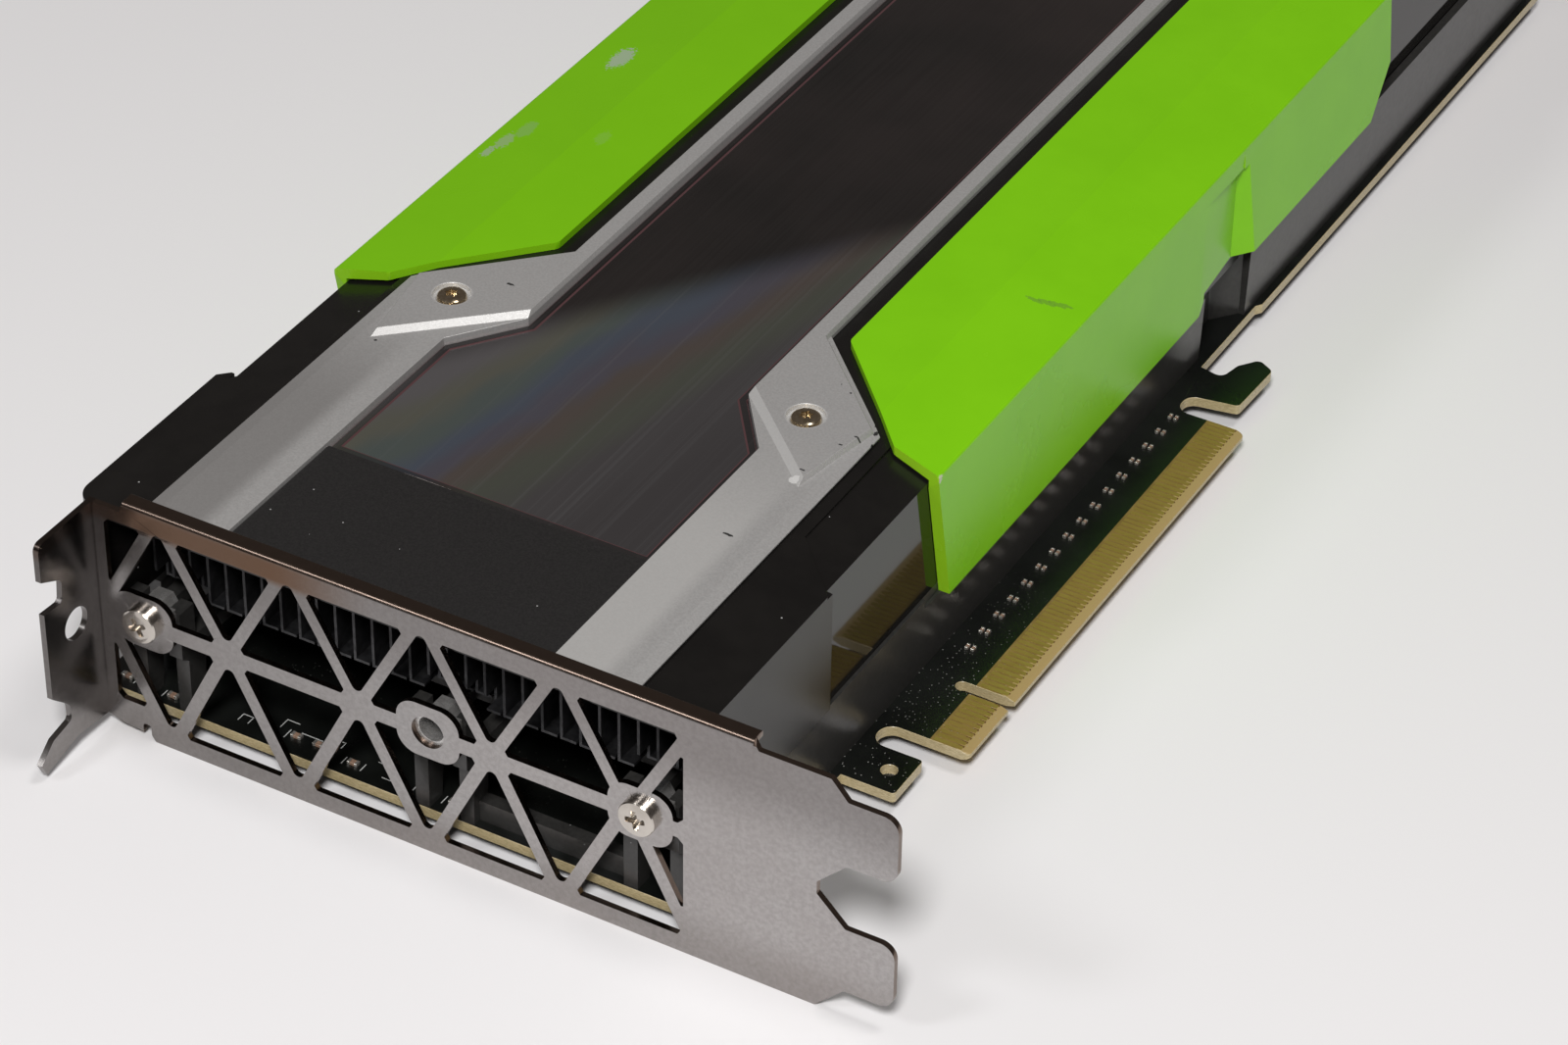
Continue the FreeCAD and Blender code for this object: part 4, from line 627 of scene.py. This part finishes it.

# Heat spreader and fins: a flat vapour chamber with folded sheet fins soldered to it, all black;
# the raw front edge of each fin is painted lighter as a highlight.
fin_black, tree, shader, colour, _ = textured(
    "fin_black", (0.012, 0.012, 0.013), (0.028, 0.028, 0.030),
    roughness=0.42, scale=800.0, metallic=0.5, bump=0.000010,
)
# Painted highlight: faces looking along the card's length are lightened in streaks.
front_face_highlight = use_group(tree, facing, Axis=(0.0, 1.0, 0.0))
cut = use_group(tree, grain, Scale=900.0, Low=0.35)
colour = blend_colour(tree, product(tree, front_face_highlight, cut), colour, (0.070, 0.070, 0.074))
tree.links.new(colour, shader.inputs["Base Color"])
recoat(fin_black, "heat_spreader", "fin_stack")

# Processor, memory and pads: a green carrier with a polished silicon die, moulded memory packages
# round it, and grey putty pads between those and the frame.
carrier = textured(
    "carrier_green", (0.01, 0.05, 0.02), (0.02, 0.09, 0.035),
    roughness=0.4, scale=500.0, bump=0.00001,
)[0]
silicon = textured(
    "silicon", (0.2, 0.2, 0.23), (0.3, 0.3, 0.33),
    roughness=0.12, scale=300.0, metallic=1.0, bump=0.000001,
)[0]
resin = textured(
    "chip_resin", (0.012, 0.012, 0.012), (0.03, 0.03, 0.03),
    roughness=0.5, scale=1800.0, bump=0.00001,
)[0]
putty = textured(
    "pad_putty", (0.35, 0.37, 0.42), (0.45, 0.47, 0.5),
    roughness=0.8, scale=900.0, bump=0.00002,
)[0]
recoat(carrier, "processor_substrate")
recoat(silicon, "processor_die")
recoat(resin, "memory_chips", "power_stages")
recoat(putty, "thermal_pads")

# Shroud: one black moulded shell over the fins, open at both ends. Its side walls are polished
# almost like glass, its roof and front blocks are left a little duller.
shell, tree, shader, colour, gloss = textured(
    "black_shell", (0.0060, 0.0055, 0.0052), (0.0085, 0.0078, 0.0072),
    roughness=0.25, scale=150.0, spread=0.012,
)
side_wall = use_group(tree, facing, Axis=(1.0, 0.0, 0.0))
shader.inputs["Specular IOR Level"].default_value = 0.36
behind = between(tree, "y", 34.2, 300, 0.0001)
polish = product(tree, side_wall, behind)
wall_roughness = 0.05
tree.links.new(ramp_node(tree, polish, 0.0, 1.0, gloss, wall_roughness), shader.inputs["Roughness"])
dust = use_group(tree, specks, Scale=420.0, Size=0.055, Rare=0.86)
tree.links.new(blend_colour(tree, dust, colour, (0.45, 0.45, 0.45)), shader.inputs["Base Color"])
finished("shroud_shell", dressed("shroud", 0.0003), "shroud", shell)

# Covers: bright green painted sheet, bent once along the roof's fold and once down the side; the
# left one has lost paint in a few places and the right one has a short dark rub mark. Their
# front-facing edges carry a painted yellow-green highlight, and the left cover is painted darker
# as shade.


def ragged_mark_group():
    """Ragged mark round a point; Stretch squeezes it, bigger values make it shorter."""
    group = bpy.data.node_groups.new("ragged_mark", "ShaderNodeTree")
    group_socket(group, "Centre", "INPUT", "NodeSocketVector", (0.0, 0.0, 0.0))
    group_socket(group, "Stretch", "INPUT", "NodeSocketVector", (1.0, 1.0, 1.0))
    group_socket(group, "Size", "INPUT", "NodeSocketFloat", 0.001)
    group_socket(group, "Ragged", "INPUT", "NodeSocketFloat", 0.8)
    group_socket(group, "Mask", "OUTPUT", "NodeSocketFloat")
    entry = group.nodes.new("NodeGroupInput")
    leave = group.nodes.new("NodeGroupOutput")
    place = group.nodes.new("ShaderNodeTexCoord")
    offset = group.nodes.new("ShaderNodeVectorMath")
    offset.operation = "SUBTRACT"
    squeeze = group.nodes.new("ShaderNodeVectorMath")
    squeeze.operation = "MULTIPLY"
    far = group.nodes.new("ShaderNodeVectorMath")
    far.operation = "LENGTH"
    noise = group.nodes.new("ShaderNodeTexNoise")
    noise.inputs["Scale"].default_value = 2400.0
    noise.inputs["Detail"].default_value = 4.0
    group.links.new(place.outputs["Object"], offset.inputs[0])
    group.links.new(entry.outputs["Centre"], offset.inputs[1])
    group.links.new(offset.outputs["Vector"], squeeze.inputs[0])
    group.links.new(entry.outputs["Stretch"], squeeze.inputs[1])
    group.links.new(squeeze.outputs["Vector"], far.inputs[0])
    group.links.new(place.outputs["Object"], noise.inputs["Vector"])
    share = math_node(group, "DIVIDE", far.outputs["Value"], entry.outputs["Size"])
    rough = math_node(group, "MULTIPLY", noise.outputs["Fac"], entry.outputs["Ragged"])
    level = math_node(group, "ADD", share, math_node(group, "MULTIPLY", rough, 2.0))
    group.links.new(ramp_node(group, level, 1.55, 1.75, 1.0, 0.0), leave.inputs["Mask"])
    return group


ragged_mark = ragged_mark_group()
paint, tree, shader, colour, _ = textured(
    "green_paint", (0.190, 0.545, 0.004), (0.205, 0.575, 0.005),
    roughness=0.27, scale=60.0, spread=0.015,
)
for x, y, size, tone in (
    (-63.0, 127.6, 0.0025, (0.50, 0.46, 0.56)), (-65.8, 100.0, 0.0019, (0.36, 0.44, 0.30)),
    (-64.6, 104.0, 0.0020, (0.25, 0.47, 0.14)), (-66.5, 96.5, 0.0014, (0.42, 0.44, 0.42)),
    (-53.3, 106.5, 0.0016, (0.23, 0.52, 0.06)), (26.4, 61.2, 0.0005, (0.50, 0.56, 0.36)),
):
    level = 34.2 if x < 0 else 32.6
    mark = use_group(tree, ragged_mark, Centre=spot(x, y, level), Size=size, Stretch=(1.5, 0.7, 0.6))
    colour = blend_colour(tree, mark, colour, tone)
# Painted highlight: front-facing edges go lighter yellow-green.
front_face_highlight = use_group(tree, facing, Axis=(0.0, 1.0, 0.0), Low=0.55, High=0.8)
colour = toned(tree, colour, front_face_highlight, 0.6, (0.34, 0.60, 0.02))
shader.inputs["Specular IOR Level"].default_value = 0.28
# Painted shade: the left cover is darker green.
painted_far_shade = between(tree, "x", -200, -40, 0.02)
colour = toned(tree, colour, painted_far_shade, 0.5, (0.165, 0.43, 0.004))
for x, y, size in (
    (18.7, 102.5, 0.0011), (20.2, 103.0, 0.0013), (21.6, 103.5, 0.0012), (22.8, 104.0, 0.0009),
):
    centre = spot(x, y, 33.9)
    rub = use_group(tree, ragged_mark, Centre=centre, Size=size, Stretch=(0.8, 3.0, 0.5), Ragged=0.7)
    colour = toned(tree, colour, rub, 0.45, (0.10, 0.17, 0.04))
tree.links.new(colour, shader.inputs["Base Color"])
for node in ("cover_left", "cover_right"):
    finished(node + "_skin", dressed(node, 0.0004, segments=3, angle=6.0), node, paint)

# Trims: satin silver-painted castings screwed down over the window's edges; the raised bosses'
# bevels and the right boss's tip carry painted highlights, the front parts are painted darker on
# the left trim and lighter on the right one as shade and highlight, and use has left small dark
# nicks along their edges.
satin, tree, shader, colour, _ = textured(
    "satin_metal", (0.48, 0.475, 0.47), (0.56, 0.555, 0.55),
    roughness=0.38, scale=3200.0, metallic=0.50, bump=0.000003, spread=0.03,
)
# Painted shade and highlight: the left trim's front part is darkened, the right one's lightened.
for low, high, tone in ((-75, -51, (0.26, 0.25, 0.245)), (-6, 9.5, (0.72, 0.715, 0.70))):
    side = between(tree, "x", low, high, 0.003)
    front = between(tree, "y", 0, 30, 0.030)
    colour = toned(tree, colour, product(tree, side, front), 0.65, tone)
# Painted highlight: the bosses' bevel faces go lighter.
for axis, share in (((-0.384, -0.376, 0.843), 0.45), ((0.384, -0.376, 0.843), 0.25)):
    bevel_highlight = use_group(tree, facing, Axis=axis, Low=0.955, High=0.985)
    colour = toned(tree, colour, bevel_highlight, share, (0.86, 0.86, 0.85))
# Painted highlight: a bright spot on the right boss's tip.
highlit_tip_spot = spot(10.9, 49.5, 34.0)
tip = use_group(tree, ragged_mark, Centre=highlit_tip_spot, Size=0.0006, Stretch=(1.0, 1.0, 0.5), Ragged=0.4)
colour = blend_colour(tree, tip, colour, (0.95, 0.95, 0.94))
trim_screw_y = 62.0
trim_screw_left = -50.1
trim_screw_right = 5.6
for x in (trim_screw_left, trim_screw_right):
    centre = spot(x, trim_screw_y, 34.2)
    disks = [
        use_group(tree, ragged_mark, Centre=centre, Size=size, Stretch=(1.0, 1.0, 0.1), Ragged=0.03)
        for size in (0.00175, 0.00140)
    ]
    ring = math_node(tree, "SUBTRACT", disks[0], disks[1], clamp=True)
    colour = toned(tree, colour, ring, 0.5, (0.85, 0.85, 0.84))
for x, y, size, squeeze_x, squeeze_y in (
    (9.5, 35.0, 0.00062, 0.7, 2.2), (13.9, 61.2, 0.00052, 0.8, 2.4), (12.7, 58.6, 0.00046, 0.8, 2.4),
    (15.0, 64.2, 0.00060, 1.6, 0.8), (11.2, 51.2, 0.00040, 0.7, 1.8), (8.2, 69.5, 0.00030, 1.0, 1.0),
    (-44.5, 68.0, 0.00050, 0.6, 1.6), (14.2, 65.6, 0.00035, 1.0, 0.8), (4.5, 70.5, 0.00028, 1.0, 1.0),
    (-53.5, 48.2, 0.00036, 1.0, 1.4), (15.8, 61.8, 0.00050, 1.6, 0.7), (6.1, 70.6, 0.00025, 1.0, 1.0),
):
    stretch = (squeeze_x, squeeze_y, 0.5)
    mark = use_group(tree, ragged_mark, Centre=spot(x, y, 34.2), Size=size, Stretch=stretch, Ragged=0.8)
    colour = blend_colour(tree, mark, colour, (0.05, 0.05, 0.05))
tree.links.new(colour, shader.inputs["Base Color"])
for node in ("trim_left", "trim_right"):
    finished(node + "_casting", dressed(node, 0.00025, angle=6.0), node, satin)

# Trim screws: low button heads with a six-lobed recess, plated and slightly gold in tone, each in a
# dished seat of its trim.
warm = textured(
    "warm_plating", (0.52, 0.42, 0.28), (0.70, 0.60, 0.45),
    roughness=0.20, scale=1800.0, metallic=1.0, bump=0.000003,
)[0]
screws = bmesh.new()
for x, twist in ((trim_screw_left, 0.2), (trim_screw_right, 0.7)):
    seat = Matrix.Translation(spot(x, trim_screw_y, 33.82))
    screw_head(
        screws, seat @ Matrix.Rotation(twist, 4, "Z"), radius=0.0021, height=0.00088, crown=0.0006,
        recess=0.00095, reach=star_reach, shank=0.00115, length=0.0035,
    )
bmesh.ops.recalc_face_normals(screws, faces=screws.faces[:])
finished("trim_screw_pair", screws, "trim_screws", warm)

# Name plate: a bare black moulded plate with a fine matt surface, let in nearly flush between the
# trims at the front end. Its place for a name is left plain.
plate_black, tree, shader, colour, _ = textured(
    "plate_black", (0.012, 0.0115, 0.0118), (0.018, 0.0172, 0.0172),
    roughness=0.42, scale=3200.0, bump=0.000010, spread=0.04,
)
dust = use_group(tree, specks, Scale=420.0, Size=0.05, Rare=0.8)
tree.links.new(blend_colour(tree, dust, colour, (0.35, 0.35, 0.35)), shader.inputs["Base Color"])
finished("name_plate_panel", dressed("name_plate", 0.00025), "name_plate", plate_black)

# Window: a near-black panel, brushed lengthwise under a clear coat. Its front end carries a painted
# sheen: faint bands of colour, light streaks along the brushing and a light glint at the front rim.
# A narrow rim runs round it just inside its edge; the faces that are not level are painted reddish
# as a reflection.
tinted, tree, shader, colour, _ = textured(
    "window_tint", (0.0095, 0.0085, 0.0083), (0.0150, 0.0140, 0.0135),
    roughness=0.16, scale=2500.0, metallic=0.35, stretch=(1.0, 0.012, 1.0), bump=0.0000006, spread=0.03,
)
across = Vector((1.0, -0.2, 0.0))
place = tree.nodes.new("ShaderNodeTexCoord")
lean = tree.nodes.new("ShaderNodeVectorMath")
lean.operation = "DOT_PRODUCT"
lean.inputs[1].default_value = across
tree.links.new(place.outputs["Object"], lean.inputs[0])
share = tree.nodes.new("ShaderNodeMapRange")
share.inputs["From Min"].default_value = spot(-48, 31.8, 0).dot(across)
share.inputs["From Max"].default_value = spot(12, 31.8, 0).dot(across)
wander = use_group(tree, grain, Scale=35.0, Stretch=(1.0, 0.4, 1.0), Low=-0.003, High=0.003)
tree.links.new(math_node(tree, "ADD", lean.outputs["Value"], wander), share.inputs["Value"])
# Painted sheen: bands of colour across the front end.
sheen_bands = tree.nodes.new("ShaderNodeValToRGB")
sheen_bands.color_ramp.interpolation = "EASE"
stops = (
    (0.02, (0.112, 0.106, 0.110)), (0.10, (0.106, 0.106, 0.086)), (0.16, (0.080, 0.098, 0.092)),
    (0.235, (0.070, 0.084, 0.112)), (0.30, (0.078, 0.074, 0.094)), (0.36, (0.086, 0.070, 0.062)),
    (0.43, (0.072, 0.077, 0.062)), (0.52, (0.064, 0.060, 0.062)), (0.75, (0.052, 0.048, 0.050)),
)
ramp = sheen_bands.color_ramp.elements
ramp[0].position, ramp[0].color = stops[0][0], (*stops[0][1], 1)
ramp[1].position, ramp[1].color = stops[-1][0], (*stops[-1][1], 1)
for position, tone in stops[1:-1]:
    ramp.new(position).color = (*tone, 1)
tree.links.new(share.outputs["Result"], sheen_bands.inputs["Fac"])
fade = Vector((-1.45, 1.0, 0.0))
sheen_zone = use_group(
    tree, band, Axis=fade, Low=spot(20, -20, 0).dot(fade), High=spot(-36, 58, 0).dot(fade), Soft=0.014
)
haze = use_group(tree, grain, Scale=14.0, Low=0.0, High=0.6)
colour = blend_colour(tree, haze, colour, (0.040, 0.030, 0.029))
colour = blend_colour(tree, sheen_zone, colour, sheen_bands.outputs["Color"])
# Painted sheen: light streaks along the brushing at the front end.
streak = use_group(tree, grain, Scale=900.0, Stretch=(1.0, 0.002, 1.0))
sheen_streaks = product(tree, math_node(tree, "POWER", streak, 7.0), sheen_zone)
colour = toned(tree, colour, sheen_streaks, 0.22, (0.16, 0.16, 0.165))
rim = between(tree, "z", 32.77, 40, 0.00003)
colour = toned(tree, colour, rim, 0.65, (0.012, 0.010, 0.010))
# Painted reflection: faces that are not level are reddish.
level_face = use_group(tree, facing, Axis=(0.0, 0.0, 1.0), Low=0.95, High=0.99)
colour = blend_colour(tree, level_face, (0.12, 0.055, 0.060), colour)
# Painted reflection: a light streak on the front rim, where the name plate meets it.
front_rim = spot(-31, 26.0, 32.8)
glint = use_group(tree, ragged_mark, Centre=front_rim, Size=0.0012, Stretch=(0.30, 7.0, 0.3), Ragged=0.5)
colour = toned(tree, colour, glint, 0.6, (0.55, 0.50, 0.47))
tree.links.new(colour, shader.inputs["Base Color"])
shader.inputs["Coat Weight"].default_value = 0.6
shader.inputs["Coat Roughness"].default_value = 0.04
window = dressed("window_panel", 0.00015)
top_faces = [f for f in window.faces if f.normal.z > 0.99 and f.calc_area() > 0.001]
bmesh.ops.inset_region(window, faces=top_faces, thickness=0.0009, depth=0.0, use_even_offset=True)
bmesh.ops.inset_region(window, faces=top_faces, thickness=0.00025, depth=-0.00012, use_even_offset=True)
finished("window_pane", window, "window_panel", tinted, sharp=12)

# Backplate: a thin black sheet under the board, held by the six countersunk screws that pull the
# frame down through it.
sheet_black = textured(
    "black_sheet", (0.012, 0.012, 0.012), (0.022, 0.022, 0.022),
    roughness=0.4, scale=1500.0, metallic=0.3, bump=0.000012,
)[0]
finished("backplate_sheet", dressed("backplate", 0.0002), "backplate", sheet_black)
backplate_screws = dressed("backplate_screws", 0.00012)
finished("backplate_screw_set", backplate_screws, "backplate_screws", bright)

# Power parts: pressed ferrite inductors on the board beside their flat power stages, and a black
# nylon socket with eight square cavities at the rear end.
ferrite = textured(
    "ferrite", (0.05, 0.05, 0.052), (0.11, 0.11, 0.11),
    roughness=0.6, scale=2500.0, metallic=0.2, bump=0.00002,
)[0]
nylon = textured(
    "socket_nylon", (0.010, 0.010, 0.010), (0.018, 0.018, 0.018),
    roughness=0.45, scale=1500.0, bump=0.00001,
)[0]
finished("inductor_blocks", dressed("power_inductors", 0.0004), "power_inductors", ferrite)
finished("socket_body", dressed("power_socket", 0.0002), "power_socket", nylon)
